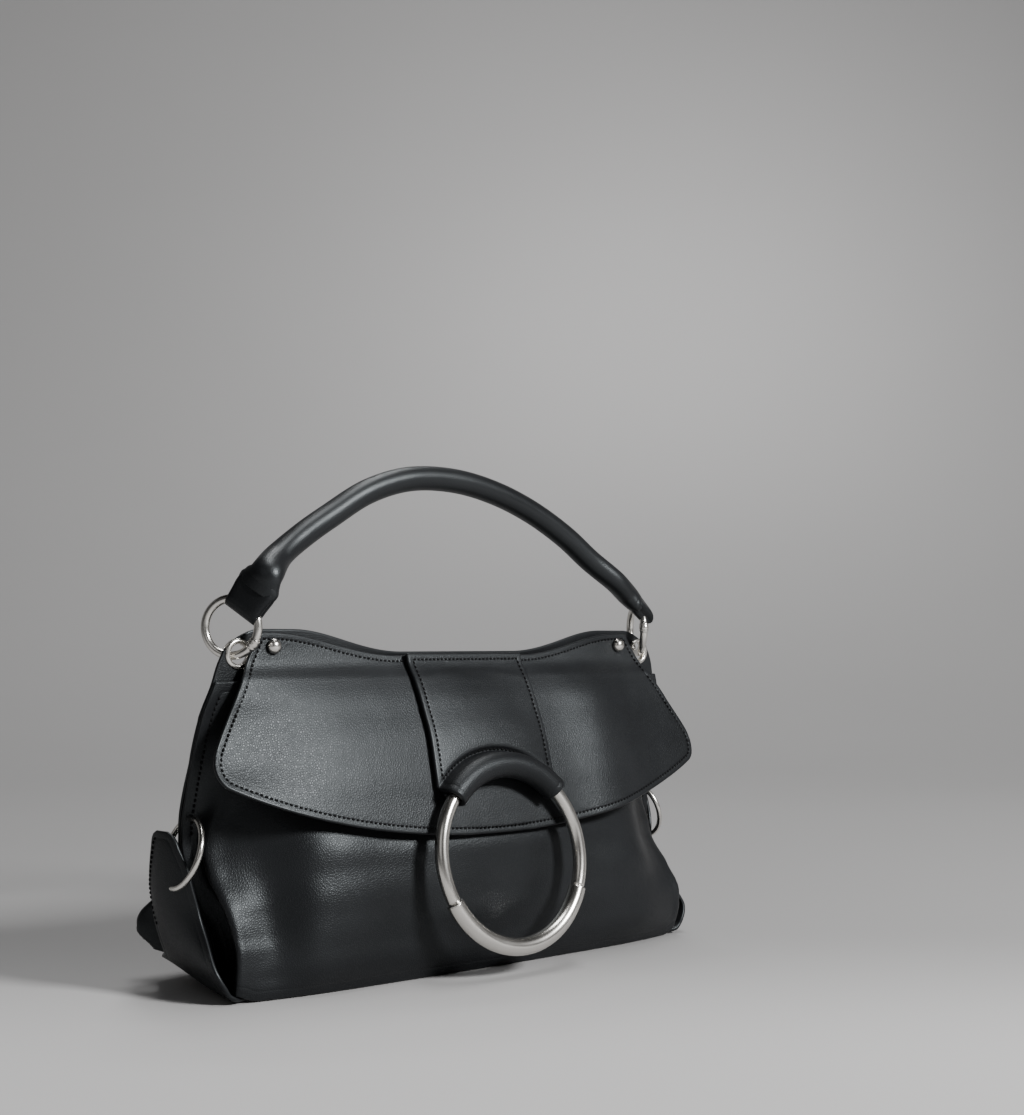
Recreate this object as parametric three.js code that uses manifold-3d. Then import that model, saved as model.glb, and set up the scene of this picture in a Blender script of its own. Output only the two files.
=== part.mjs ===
// A leather shoulder bag: soft front and back walls sewn at raw side seams, a base whose ends
// turn up as tongues, a flared flap, a centre strap looped round a large ring, and a rolled handle.
// Millimetres, +Z up. The front faces -Y, the floor is z = 0 and the origin is the base's centre.
import * as THREE from 'three';
import { mergeVertices } from 'three/addons/utils/BufferGeometryUtils.js';
import Module from 'manifold-3d';

const wasm = await Module();
wasm.setup();

// Leather thicknesses and the gap that sewn pieces keep.
const PANEL_LEATHER = 2.0;
const BASE_LEATHER = 2.4;
const FLAP_LEATHER = 2.2;
const STRAP_LEATHER = 3.0;
const SEAM_GAP = 0.3;
const BASE_SEAM_GAP = 0.8;
const SIDE_SEAM_GAP = 0.8;

// Upper edge of the back panel: low in the middle, high at the ears.
const TOP_MIDDLE = 183;
const TOP_EAR = 196;
const TOP_SAG_HALF = 45;
const TOP_EAR_HALF = 132;
const EAR_ROUND = 14;
const EAR_SPAN = 340;
const FRONT_HEM = 167;

// The bag leans a little: its upper part sits to the right of its base.
const TOP_SHIFT = { by: 2.7, from: 140, to: 185 };

// Flap: straight flared sides, an arched lower edge and rounded lower corners.
const FLAP_TOP_DROP = 2.5;
const FLAP_SIDE_LOW = { x: 182, z: 118 };
const FLAP_SIDE_HIGH = { x: 139.5, z: 194 };
const FLAP_LOW_MIDDLE = 79.5;
const FLAP_LOW_SIDE = 118;
const FLAP_CORNER_ROUND = 14;
const FLAP_SIDE_BACK = 6;

// Centre strap.
const STRAP_HALF = 43;
const STRAP_STAND = 4.6;
const STRAP_TOP = 184;
const LOOP_RADIUS = 7.6;
const LOOP_HALF_ANGLE = 47;
const LOOP_CLEARANCE = 0.6;
const LOOP_BORE_BEYOND = 6;

// Front ring: thin wire above, thicker sleeve below.
const RING_CENTRE = new THREE.Vector3(-1.5, -70, 67.1);
const RING_RADIUS = 51.6;
const RING_WIRE = 4;
const RING_SLEEVE = 5.1;
const SLEEVE_HALF_ANGLE = 64;
const RING_LEAN = 11;

// Handle, its rings and the eyelets.
const HANDLE_RADIUS = 7.35;
const HANDLE_RING = { x: 156.1, y: -11.3, z: 197, radius: 15.6, wire: 2.4 };
const EYELET = { x: 153.4, z: 182.3, outer: 8.5, inner: 5.6, barrel: 6.5, flange: 0.9, round: 0.6 };
const EAR_FACE = -12.6;

// Flap studs and side rings.
const STUD = { x: 132, z: 186.5, dome: 4, rise: 3.4, shank: 1.5, cap: 3.4, capThick: 1.1 };
const SIDE_RING = { z: 76, radius: 18.85, wire: 1.65 };
const WIRE_CLEARANCE = 0.5;

// The base's ends lift off the floor towards the back.
const END_LIFT = 14;
const END_LIFT_HALF = { from: 118, to: 170 };
const END_LIFT_DEPTH = { from: -45, to: 52 };
const END_LIFT_FADE = 70;
const END_ROOM = 4.5;
const END_ROOM_HALF = { from: 140, to: 166 };
const END_ROOM_FADE = 30;

// Rows of numbers under named columns.
const named = (columns, row) => Object.fromEntries(columns.map((name, i) => [name, row[i]]));
const table = (columns, rows) => rows.map((row) => named(columns, row));

// Front wall, one row per height, right half: the middle's depth, the flat shoulder, the crest of
// the end fold, the root where the wall turns to the seam, and the seam's raw edge.
const WALL_COLUMNS = ['z', 'mid', 'shoulderX', 'shoulderY', 'crestX', 'crestY', 'rootX', 'rootY', 'seamX'];
const FRONT_SECTIONS = table(WALL_COLUMNS, [
  [0, -48, 120, -45, 165, -38.4, 150, -10, 151],
  [20, -55, 122, -53, 165.5, -42.5, 148, -13, 156],
  [42, -58, 122, -52, 166, -31, 154, -10, 166],
  [65, -57.5, 121, -46, 164.5, -17, 167, -6.5, 174],
  [84, -52.5, 120, -40.5, 158, -17, 169, -3.5, 177],
  [104, -45.5, 118, -35, 156, -16, 168, -6.5, 176],
  [125, -37.5, 116, -29.5, 153, -16.5, 166, -10.5, 175],
  [147, -28.5, 114, -24.5, 150, -18.5, 164, -15.6, 173],
  [167, -20, 110, -20, 146, -18.6, 159, -17.6, 168],
]);

// The left end's own crest on the front wall: a soft ridge from the base's corner up to the seam.
const FRONT_LEFT_CREST = table(['z', 'x', 'y'], [
  [0, 166, -38.6],
  [8, 166, -42.5],
  [20, 163.5, -46],
  [30, 163.5, -42.5],
  [42, 166.5, -32.5],
  [52, 169.5, -26],
  [65, 171, -17],
  [84, 168, -12.5],
  [104, 159, -15],
  [125, 153, -16.5],
  [167, 146, -18.6],
]);

// Back wall, in the same columns.
const BACK_SECTIONS = table(WALL_COLUMNS, [
  [0, 49, 120, 47.5, 168, 45, 150, 10, 151],
  [14, 56, 126, 55, 174.5, 52.5, 148, 13, 155],
  [42, 59, 122, 55, 169, 43, 151, 11, 166],
  [65, 55, 120, 48, 163, 26, 161, 7, 174],
  [84, 48, 119, 39, 159, 18, 169, 3.5, 177],
  [104, 39, 118, 30, 156, 11, 168, 0, 176],
  [125, 28, 116, 20, 154, 4, 167, -4.5, 175],
  [147, 14, 114, 8, 150, -5, 164, -9.6, 173],
  [167, -1, 110, -5, 143, -12.2, 156, -12.6, 168],
  [182, -13.5, 106, -12.6, 138, -12.6, 152, -12.6, 163.3],
  [196, -14.5, 100, -13, 130, -12.6, 144, -12.6, 153],
]);

// Side seam: depth of its middle plane at each height.
const SEAM_LINE = table(['z', 'y'], [
  [0, 0],
  [84, 0],
  [125, -7.5],
  [147, -12.4],
  [167, -15],
  [196, -15],
]);

// Soft folds of each wall: place, spread and how far the leather is pushed out (or in, if negative).
const FRONT_FOLDS = table(['x', 'z', 'spreadX', 'spreadZ', 'push'], [
  [-150, 74, 11, 24, 2],
  [-126, 58, 15, 34, -4],
  [-98, 62, 18, 34, 1.5],
  [146, 66, 14, 30, -3.5],
  [-72, 30, 26, 16, -2.5],
]);
const BACK_FOLDS = table(['x', 'z', 'spreadX', 'spreadZ', 'push'], [
  [-138, 78, 14, 32, -4.5],
  [138, 78, 14, 32, -4.5],
  [0, 120, 90, 16, -3],
]);
const FOLD_START = 12;
const SEAM_HOLD = 0.11;

// Share of the turn from the middle's depth to the shoulder's that lies in its inner half.
const HALFWAY_TURN = 0.28;

// Base and tongues, right half from the middle to the tongue's tip.
const BASE_SECTIONS = table(['x', 'z', 'front', 'back'], [
  [0, 0, -48, 49],
  [80, 0, -46.5, 48],
  [140, 0, -41.5, 47],
  [160, 0.2, -39.3, 46],
  [167, 1.5, -38.8, 45],
  [170.5, 4, -38.4, 42],
  [172.5, 7, -38.6, 24],
  [176, 13, -37.5, 20],
  [180, 25, -32, 20],
  [183.5, 40, -25.8, 22],
  [186, 55, -23.2, 18.5],
  [187.5, 70, -20.3, 11.5],
  [188, 79, -16.8, 7.5],
  [188, 84, -12.5, 5],
  [188, 87, -7.5, 1.5],
]);

// The tongues bow towards the body in front of and behind their middle line. Each end has its own
// shift of the tongue to the back, tuck of it towards the body, side ring, turn of its handle ring,
// place on that ring where the handle grips it, and share by which the grip turns to the arch.
const TONGUE_BOW = { rate: 0.012, from: 15, to: 50 };
const END_COLUMNS = [
  'word', 'sign', 'shift', 'tuck', 'ringX', 'ringY', 'ringYaw', 'ringTilt', 'handleYaw', 'grip', 'turned',
];
const ENDS = table(END_COLUMNS, [
  ['left', -1, 6, 0, 178, -4, 4, 18, 56, 55, 0],
  ['right', 1, 17, 2.5, 175, 5, 4, 18, 62, 65, 1],
]);

// Flap's centre line: outer face.
const FLAP_PROFILE = table(['z', 'y'], [
  [80, -60.5],
  [100, -55],
  [120, -49.2],
  [150, -37.2],
  [168, -28.2],
  [180, -21.2],
  [194, -18.8],
]);

// Soft dents of the flap: place, spread and depth.
const FLAP_DENTS = table(['x', 'z', 'spreadX', 'spreadZ', 'depth'], [
  [-174, 134, 48, 32, 8],
]);

// Handle's arch from left to right: place, half width and half thickness of the roll.
const HANDLE_SECTIONS = table(['x', 'y', 'z', 'width', 'thick'], [
  [-129, -19.5, 236, 9.4, 7.1],
  [-110, -16, 249, HANDLE_RADIUS, HANDLE_RADIUS],
  [-92, -14.5, 260, HANDLE_RADIUS, HANDLE_RADIUS],
  [-64, -14, 276, HANDLE_RADIUS, HANDLE_RADIUS],
  [-34, -14, 285, HANDLE_RADIUS, HANDLE_RADIUS],
  [0, -14, 286, HANDLE_RADIUS, HANDLE_RADIUS],
  [32, -14, 280.5, HANDLE_RADIUS, HANDLE_RADIUS],
  [62, -14.3, 270.2, HANDLE_RADIUS, HANDLE_RADIUS],
  [90, -15.5, 255.5, HANDLE_RADIUS, HANDLE_RADIUS],
  [110, -17.5, 241, HANDLE_RADIUS, HANDLE_RADIUS],
  [129, -21, 228, 9.4, 7.1],
]);

// Flat ends of the handle: distance from the ring's wire, half width and half thickness.
const HANDLE_TAB = table(['reach', 'width', 'thick'], [
  [19, 12.8, 6.8],
  [13.5, 12.2, 5.4],
  [0, 11, 5.2],
  [-8, 10.4, 2.6],
]);

const LEATHER = { color: 0x121316, roughness: 0.42, metalness: 0 };
const METAL = { color: 0xc9c6bf, roughness: 0.28, metalness: 1 };

// Smooth value of one column of a table, by a cubic between rows whose slopes never overshoot.
function fromTable(rows, by, column, at) {
  const last = rows.length - 1;
  if (at <= rows[0][by]) return rows[0][column];
  if (at >= rows[last][by]) return rows[last][column];
  const k = rows.findIndex((row) => row[by] > at) - 1;
  const rise = (i) => (rows[i + 1][column] - rows[i][column]) / (rows[i + 1][by] - rows[i][by]);
  const slope = (i) => {
    if (i === 0) return rise(0);
    if (i === last) return rise(last - 1);
    const before = rise(i - 1);
    const after = rise(i);
    return before * after <= 0 ? 0 : (2 * before * after) / (before + after);
  };
  const span = rows[k + 1][by] - rows[k][by];
  const t = (at - rows[k][by]) / span;
  const start = rows[k][column] + t * span * slope(k);
  const end = rows[k + 1][column] - (1 - t) * span * slope(k + 1);
  const blend = t * t * (3 - 2 * t);
  return start * (1 - blend) + end * blend;
}

const smooth = (from, to, at) => THREE.MathUtils.smoothstep(at, from, to);
const radians = THREE.MathUtils.degToRad;

function indexed(vertices, triangles) {
  const geometry = new THREE.BufferGeometry();
  const places = vertices.flatMap((vertex) => vertex.toArray());
  geometry.setAttribute('position', new THREE.Float32BufferAttribute(places, 3));
  geometry.setIndex(triangles);
  geometry.computeVertexNormals();
  return geometry;
}

// A closed leather sheet: the outer face is place(u, v), the inner face lies one thickness behind it.
function leatherSheet(columns, rows, thickness, place) {
  const grid = [];
  for (let j = 0; j <= rows; j += 1) {
    for (let i = 0; i <= columns; i += 1) grid.push(place(i / columns, j / rows));
  }
  const at = (i, j) => j * (columns + 1) + i;
  const inner = grid.map((point, k) => {
    const i = k % (columns + 1);
    const j = (k - i) / (columns + 1);
    const across = grid[at(Math.min(i + 1, columns), j)].clone().sub(grid[at(Math.max(i - 1, 0), j)]);
    const along = grid[at(i, Math.min(j + 1, rows))].clone().sub(grid[at(i, Math.max(j - 1, 0))]);
    return point.clone().addScaledVector(across.cross(along).normalize(), -thickness);
  });
  const back = grid.length;
  const triangles = [];
  const quad = (a, b, c, d) => triangles.push(a, b, c, a, c, d);
  for (let j = 0; j < rows; j += 1) {
    for (let i = 0; i < columns; i += 1) {
      const corners = [at(i, j), at(i + 1, j), at(i + 1, j + 1), at(i, j + 1)];
      quad(...corners);
      quad(...corners.map((k) => k + back).reverse());
    }
  }
  const wall = (a, b) => quad(b, a, a + back, b + back);
  for (let i = 0; i < columns; i += 1) {
    wall(at(i, 0), at(i + 1, 0));
    wall(at(i + 1, rows), at(i, rows));
  }
  for (let j = 0; j < rows; j += 1) {
    wall(at(0, j + 1), at(0, j));
    wall(at(columns, j), at(columns, j + 1));
  }
  return indexed([...grid, ...inner], triangles);
}

// A solid through round sections, closed into a ring or capped at both ends.
function loft(sections, isRing) {
  const sides = sections[0].length;
  const count = sections.length;
  const triangles = [];
  for (let k = 0; k < (isRing ? count : count - 1); k += 1) {
    const next = ((k + 1) % count) * sides;
    for (let i = 0; i < sides; i += 1) {
      const turn = (i + 1) % sides;
      triangles.push(k * sides + i, k * sides + turn, next + turn);
      triangles.push(k * sides + i, next + turn, next + i);
    }
  }
  if (!isRing) {
    const end = (count - 1) * sides;
    for (let i = 1; i < sides - 1; i += 1) {
      triangles.push(0, i + 1, i);
      triangles.push(end, end + i, end + i + 1);
    }
  }
  return indexed(sections.flat(), triangles);
}

// One oval section about a centre, with its two half axes.
function oval(centre, widthAxis, thickAxis, width, thick, sides) {
  return Array.from({ length: sides }, (_, i) => {
    const turn = (2 * Math.PI * i) / sides;
    return centre.clone()
      .addScaledVector(widthAxis, width * Math.cos(turn))
      .addScaledVector(thickAxis, thick * Math.sin(turn));
  });
}

function solidOf(geometry) {
  const bare = geometry.clone();
  bare.deleteAttribute('normal');
  bare.deleteAttribute('uv');
  const merged = mergeVertices(bare, 1e-4);
  const vertProperties = new Float32Array(merged.attributes.position.array);
  const triVerts = new Uint32Array(merged.index.array);
  return new wasm.Manifold(new wasm.Mesh({ numProp: 3, vertProperties, triVerts }));
}

function geometryOf(solid) {
  const mesh = solid.getMesh();
  const geometry = new THREE.BufferGeometry();
  geometry.setAttribute('position', new THREE.Float32BufferAttribute(mesh.vertProperties, 3));
  geometry.setIndex(Array.from(mesh.triVerts));
  geometry.computeVertexNormals();
  return geometry;
}

function cut(geometry, cutters) {
  return geometryOf(cutters.reduce((solid, tool) => solid.subtract(solidOf(tool)), solidOf(geometry)));
}

const bag = new THREE.Group();
function addPiece(name, geometry, finish) {
  const mesh = new THREE.Mesh(geometry, new THREE.MeshStandardMaterial(finish));
  mesh.name = name;
  bag.add(mesh);
  return mesh;
}

// Height of the back panel's top edge above the floor.
function topEdge(x) {
  return TOP_MIDDLE + (TOP_EAR - TOP_MIDDLE) * smooth(TOP_SAG_HALF, TOP_EAR_HALF, Math.abs(x));
}

// How far the base and the walls' lower edges stand off the floor at a place.
function endLift(x, y, z) {
  const outward = smooth(END_LIFT_HALF.from, END_LIFT_HALF.to, Math.abs(x));
  const backward = smooth(END_LIFT_DEPTH.from, END_LIFT_DEPTH.to, y);
  return END_LIFT * outward * backward * (1 - smooth(0, END_LIFT_FADE, z));
}

// The walls clear the bend where the base turns up into its tongues.
function endRoom(x, z) {
  const outward = smooth(END_ROOM_HALF.from, END_ROOM_HALF.to, Math.abs(x));
  return END_ROOM * outward * (1 - smooth(0, END_ROOM_FADE, z));
}

// A wall's level cut at one height, from its right seam (side 1) or left seam (side -1) across.
function wallCut(sections, leftCrest, z, facing) {
  const value = (column) => fromTable(sections, 'z', column, z);
  const seamY = fromTable(SEAM_LINE, 'z', 'y', z) + facing * (PANEL_LEATHER + SIDE_SEAM_GAP / 2);
  const crest = [value('crestX'), value('crestY')];
  const ownCrest = leftCrest ? ['x', 'y'].map((axis) => fromTable(leftCrest, 'z', axis, z)) : crest;
  const half = (end) => [
    [value('shoulderX') / 2, THREE.MathUtils.lerp(value('mid'), value('shoulderY'), HALFWAY_TURN)],
    [value('shoulderX'), value('shoulderY')],
    end,
    [value('rootX'), value('rootY')],
    [value('seamX'), seamY],
  ];
  const middle = new THREE.Vector3(0, value('mid'), z);
  const left = half(ownCrest).map(([x, y]) => new THREE.Vector3(facing * x, y, z)).reverse();
  const right = half(crest).map(([x, y]) => new THREE.Vector3(-facing * x, y, z));
  return new THREE.CatmullRomCurve3([...left, middle, ...right], false, 'centripetal');
}

// Columns crowd towards the ends and rows towards the base, where the leather folds.
const WALL_CROWDING = table(['column', 'share'], [
  [0, 0],
  [0.3, 0.17],
  [0.5, 0.5],
  [0.7, 0.83],
  [1, 1],
]);
const BASE_CROWDING = table(['row', 'share'], [
  [0, 0],
  [0.32, 0.2],
  [0.5, 0.5],
  [0.68, 0.8],
  [1, 1],
]);
const FLAP_CROWDING = 0.55;
const LOW_ROWS = 1.3;

function wall(sections, leftCrest, folds, facing, columns, rows, topAt) {
  return leatherSheet(columns, rows, PANEL_LEATHER, (u, v) => {
    const share = fromTable(WALL_CROWDING, 'column', 'share', u);
    const z = topAt(share) * v ** LOW_ROWS;
    const point = wallCut(sections, leftCrest, z, facing).getPointAt(share);
    const freed = smooth(0, FOLD_START, z) * smooth(0, SEAM_HOLD, Math.min(share, 1 - share));
    folds.forEach((fold) => {
      const across = (point.x - fold.x) / fold.spreadX;
      const up = (z - fold.z) / fold.spreadZ;
      point.y += facing * freed * fold.push * Math.exp(-across * across - up * up);
    });
    const standing = BASE_LEATHER + BASE_SEAM_GAP;
    point.z = standing + z * (1 - standing / FRONT_HEM);
    point.z += endLift(point.x, point.y, z) + endRoom(point.x, z);
    point.x += TOP_SHIFT.by * smooth(TOP_SHIFT.from, TOP_SHIFT.to, z);
    return point;
  });
}

// Rings, each with the place and turn that its mesh and the holes cut for it share.
function ringPlace(x, y, z, normal) {
  const turn = new THREE.Quaternion().setFromUnitVectors(new THREE.Vector3(0, 0, 1), normal);
  return new THREE.Matrix4().compose(new THREE.Vector3(x, y, z), turn, new THREE.Vector3(1, 1, 1));
}
const SIDES = ENDS.map((end) => ({
  ...end,
  handleRing: ringPlace(
    end.sign * HANDLE_RING.x + TOP_SHIFT.by, HANDLE_RING.y, HANDLE_RING.z,
    new THREE.Vector3(end.sign * Math.sin(radians(end.handleYaw)), -Math.cos(radians(end.handleYaw)), 0),
  ),
  sideRing: ringPlace(
    end.sign * end.ringX, end.ringY, SIDE_RING.z,
    new THREE.Vector3(
      end.sign * Math.cos(radians(end.ringYaw)) * Math.cos(radians(end.ringTilt)),
      Math.sin(radians(end.ringYaw)) * Math.cos(radians(end.ringTilt)),
      Math.sin(radians(end.ringTilt)),
    ),
  ),
}));
const sideRingHole = ({ sideRing }) => new THREE.TorusGeometry(
  SIDE_RING.radius, SIDE_RING.wire + WIRE_CLEARANCE, 6, 24,
).applyMatrix4(sideRing);
const handleRingHole = ({ handleRing }) => new THREE.TorusGeometry(
  HANDLE_RING.radius, HANDLE_RING.wire + WIRE_CLEARANCE, 6, 24,
).applyMatrix4(handleRing);
const eyeletCentre = ({ sign }) => new THREE.Vector3(
  sign * EYELET.x + TOP_SHIFT.by, EAR_FACE, EYELET.z,
);
const eyeletHole = (side) => new THREE.CylinderGeometry(
  EYELET.barrel + SEAM_GAP, EYELET.barrel + SEAM_GAP, 20, 16,
).translate(...eyeletCentre(side));
const studHole = ({ sign }) => new THREE.CylinderGeometry(
  STUD.shank + SEAM_GAP, STUD.shank + SEAM_GAP, 20, 10,
).translate(sign * STUD.x, EAR_FACE, STUD.z);

// Front and back walls.
const frontWall = wall(FRONT_SECTIONS, FRONT_LEFT_CREST, FRONT_FOLDS, -1, 34, 10, () => FRONT_HEM);
addPiece('front_panel', cut(frontWall, SIDES.map(sideRingHole)), LEATHER);

const earDrop = (share) => {
  const fromEnd = Math.min(share, 1 - share) * EAR_SPAN;
  const inside = Math.max(0, 1 - fromEnd / EAR_ROUND);
  return EAR_ROUND * (1 - Math.sqrt(1 - inside * inside));
};
const backTop = (share) => topEdge((share - 0.5) * EAR_SPAN) - earDrop(share);
const backWall = wall(BACK_SECTIONS, null, BACK_FOLDS, 1, 34, 11, backTop);
const backHoles = [...SIDES.map(sideRingHole), ...SIDES.map(eyeletHole), ...SIDES.map(studHole)];
addPiece('back_panel', cut(backWall, backHoles), LEATHER);

// Base with its two tongues, from the left tip to the right tip.
const baseRows = [
  ...BASE_SECTIONS.slice(1).reverse().map((row) => ({ ...row, x: -row.x })),
  ...BASE_SECTIONS,
];
const baseLine = (depth) => new THREE.CatmullRomCurve3(
  baseRows.map((row) => new THREE.Vector3(row.x, depth(row), row.z)), false, 'centripetal',
);
const basePath = baseLine(() => 0);
const baseFront = baseLine((row) => row.front);
const baseBack = baseLine((row) => row.back);
const base = leatherSheet(5, 44, BASE_LEATHER, (u, v) => {
  const along = basePath.getUtoTmapping(fromTable(BASE_CROWDING, 'row', 'share', v));
  const point = baseFront.getPoint(along).lerp(baseBack.getPoint(along), u);
  const middle = basePath.getPoint(along);
  const { sign, shift, tuck } = ENDS[middle.x < 0 ? 0 : 1];
  const raised = smooth(TONGUE_BOW.from, TONGUE_BOW.to, middle.z);
  point.x = middle.x - sign * raised * (TONGUE_BOW.rate * point.y ** 2 + tuck);
  point.y += shift * raised;
  point.z = Math.max(0, middle.z) + endLift(point.x, point.y, middle.z);
  return point;
});
addPiece('base_panel', cut(base, SIDES.map(sideRingHole)), LEATHER);

// Flap. Its face bows back a little towards both sides.
const flapHalf = (z) => THREE.MathUtils.mapLinear(
  z, FLAP_SIDE_LOW.z, FLAP_SIDE_HIGH.z, FLAP_SIDE_LOW.x, FLAP_SIDE_HIGH.x,
);
const flapDent = (x, z) => FLAP_DENTS.reduce((sum, dent) => {
  const across = (x - dent.x) / dent.spreadX;
  const up = (z - dent.z) / dent.spreadZ;
  return sum + dent.depth * Math.exp(-across * across - up * up);
}, 0);
const flapFace = (x, z) => fromTable(FLAP_PROFILE, 'z', 'y', z) + flapDent(x, z)
  + FLAP_SIDE_BACK * (x / FLAP_SIDE_LOW.x) ** 2 * (1 - smooth(FLAP_SIDE_LOW.z, FLAP_SIDE_HIGH.z, z));
const flapLower = (u) => {
  const fromSide = (1 - Math.abs(u)) * FLAP_SIDE_LOW.x;
  const inside = Math.max(0, 1 - fromSide / FLAP_CORNER_ROUND);
  const rounding = FLAP_CORNER_ROUND * (1 - Math.sqrt(1 - inside * inside));
  return FLAP_LOW_MIDDLE + (FLAP_LOW_SIDE - FLAP_LOW_MIDDLE) * u * u + rounding;
};
const flap = leatherSheet(26, 9, FLAP_LEATHER, (u, v) => {
  const across = 2 * THREE.MathUtils.lerp(u, 0.5 - 0.5 * Math.cos(Math.PI * u), FLAP_CROWDING) - 1;
  const top = topEdge(across * FLAP_SIDE_HIGH.x) - FLAP_TOP_DROP;
  const z = THREE.MathUtils.lerp(flapLower(across), top, v);
  const x = across * flapHalf(z);
  return new THREE.Vector3(x, flapFace(x, z), z);
});
addPiece('flap', cut(flap, SIDES.map(studHole)), LEATHER);

// The big ring's own plane leans towards the bag at its top.
const ringUp = new THREE.Vector3(0, Math.sin(radians(RING_LEAN)), Math.cos(radians(RING_LEAN)));
const ringAxis = new THREE.Vector3(0, -Math.cos(radians(RING_LEAN)), Math.sin(radians(RING_LEAN)));
const acrossAxis = new THREE.Vector3(1, 0, 0);
function ringSection(degrees, radius, sides) {
  const turn = radians(degrees);
  const outward = acrossAxis.clone().multiplyScalar(Math.sin(turn)).addScaledVector(ringUp, Math.cos(turn));
  const centre = RING_CENTRE.clone().addScaledVector(outward, RING_RADIUS);
  return oval(centre, outward, ringAxis, radius, radius, sides);
}
const ringSteps = [];
for (let degrees = -180; degrees < 180; degrees += 8) {
  const fromBottom = 180 - Math.abs(degrees);
  ringSteps.push({ degrees, radius: fromBottom < SLEEVE_HALF_ANGLE ? RING_SLEEVE : RING_WIRE });
}
const shoulder = 180 - SLEEVE_HALF_ANGLE;
[-1, 1].forEach((sign) => {
  ringSteps.push({ degrees: sign * (shoulder + 0.2), radius: RING_SLEEVE });
  ringSteps.push({ degrees: sign * (shoulder - 0.4), radius: RING_WIRE });
});
ringSteps.sort((a, b) => a.degrees - b.degrees);
const ringSections = ringSteps.map(({ degrees, radius }) => ringSection(degrees, radius, 10));
addPiece('front_ring', loft(ringSections, true), METAL);

// Centre strap: it lies on the flap down to the padded loop round the big ring.
const strapLower = (x) => RING_CENTRE.z + ringUp.z * Math.sqrt(RING_RADIUS ** 2 - x * x);
const strap = leatherSheet(10, 6, STRAP_LEATHER, (u, v) => {
  const x = (2 * u - 1) * STRAP_HALF;
  const z = THREE.MathUtils.lerp(strapLower(x), STRAP_TOP - FLAP_TOP_DROP, v);
  return new THREE.Vector3(x, flapFace(x, z) - STRAP_STAND, z);
});
const LOOP_STEPS = 12;
const loopRoll = (halfAngle, radius) => loft(Array.from({ length: LOOP_STEPS + 1 }, (_, k) => (
  ringSection(THREE.MathUtils.mapLinear(k, 0, LOOP_STEPS, -halfAngle, halfAngle), radius, 12)
)), false);
const loop = loopRoll(LOOP_HALF_ANGLE, LOOP_RADIUS);
const loopBore = loopRoll(LOOP_HALF_ANGLE + LOOP_BORE_BEYOND, RING_WIRE + LOOP_CLEARANCE);
const looped = solidOf(strap).add(solidOf(loop));
addPiece('centre_strap', cut(geometryOf(looped), [loopBore]), LEATHER);

// Handle: a rolled arch whose flattened ends close round the handle rings.
const HANDLE_STEPS = 44;
const HANDLE_FLAT = { from: 0.4, to: 0.68 };
function handleEnd({ sign, handleYaw, grip, turned }) {
  const yaw = radians(handleYaw);
  const gripTurn = radians(grip);
  const level = new THREE.Vector3(-sign * Math.cos(yaw), -Math.sin(yaw), 0);
  const outward = level.clone().multiplyScalar(Math.cos(gripTurn)).setZ(Math.sin(gripTurn));
  const held = new THREE.Vector3(sign * HANDLE_RING.x + TOP_SHIFT.by, HANDLE_RING.y, HANDLE_RING.z);
  held.addScaledVector(outward, HANDLE_RING.radius);
  const archEnd = HANDLE_SECTIONS.at(sign < 0 ? 0 : -1);
  const toArch = new THREE.Vector3(archEnd.x, archEnd.y, archEnd.z).sub(held).normalize();
  const along = outward.clone().lerp(toArch, turned).normalize();
  const rows = HANDLE_TAB.map(({ reach, width, thick }) => {
    const { x, y, z } = held.clone().addScaledVector(along, reach);
    return { x, y, z, width, thick };
  });
  const flatAxis = level.multiplyScalar(Math.sin(gripTurn)).setZ(-Math.cos(gripTurn));
  return { rows, flatAxis };
}
const [handleLeft, handleRight] = SIDES.map(handleEnd);
const handleRows = [...handleLeft.rows.reverse(), ...HANDLE_SECTIONS, ...handleRight.rows];
handleRows.forEach((row, step) => { row.step = step; });
const handlePath = new THREE.CatmullRomCurve3(
  handleRows.map(({ x, y, z }) => new THREE.Vector3(x, y, z)), false, 'centripetal',
);
const handleSections = Array.from({ length: HANDLE_STEPS + 1 }, (_, k) => {
  const share = k / HANDLE_STEPS;
  const step = share * (handleRows.length - 1);
  const along = handlePath.getTangent(share);
  const flatten = smooth(HANDLE_FLAT.from, HANDLE_FLAT.to, Math.abs(2 * share - 1));
  const { flatAxis } = share < 0.5 ? handleLeft : handleRight;
  const widthAxis = new THREE.Vector3(0, -1, 0).lerp(flatAxis, flatten);
  widthAxis.addScaledVector(along, -widthAxis.dot(along)).normalize();
  const thickAxis = along.clone().cross(widthAxis);
  const width = fromTable(handleRows, 'step', 'width', step);
  const thick = fromTable(handleRows, 'step', 'thick', step);
  return oval(handlePath.getPoint(share), widthAxis, thickAxis, width, thick, 10);
});
addPiece('handle', cut(loft(handleSections, false), SIDES.map(handleRingHole)), LEATHER);

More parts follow.
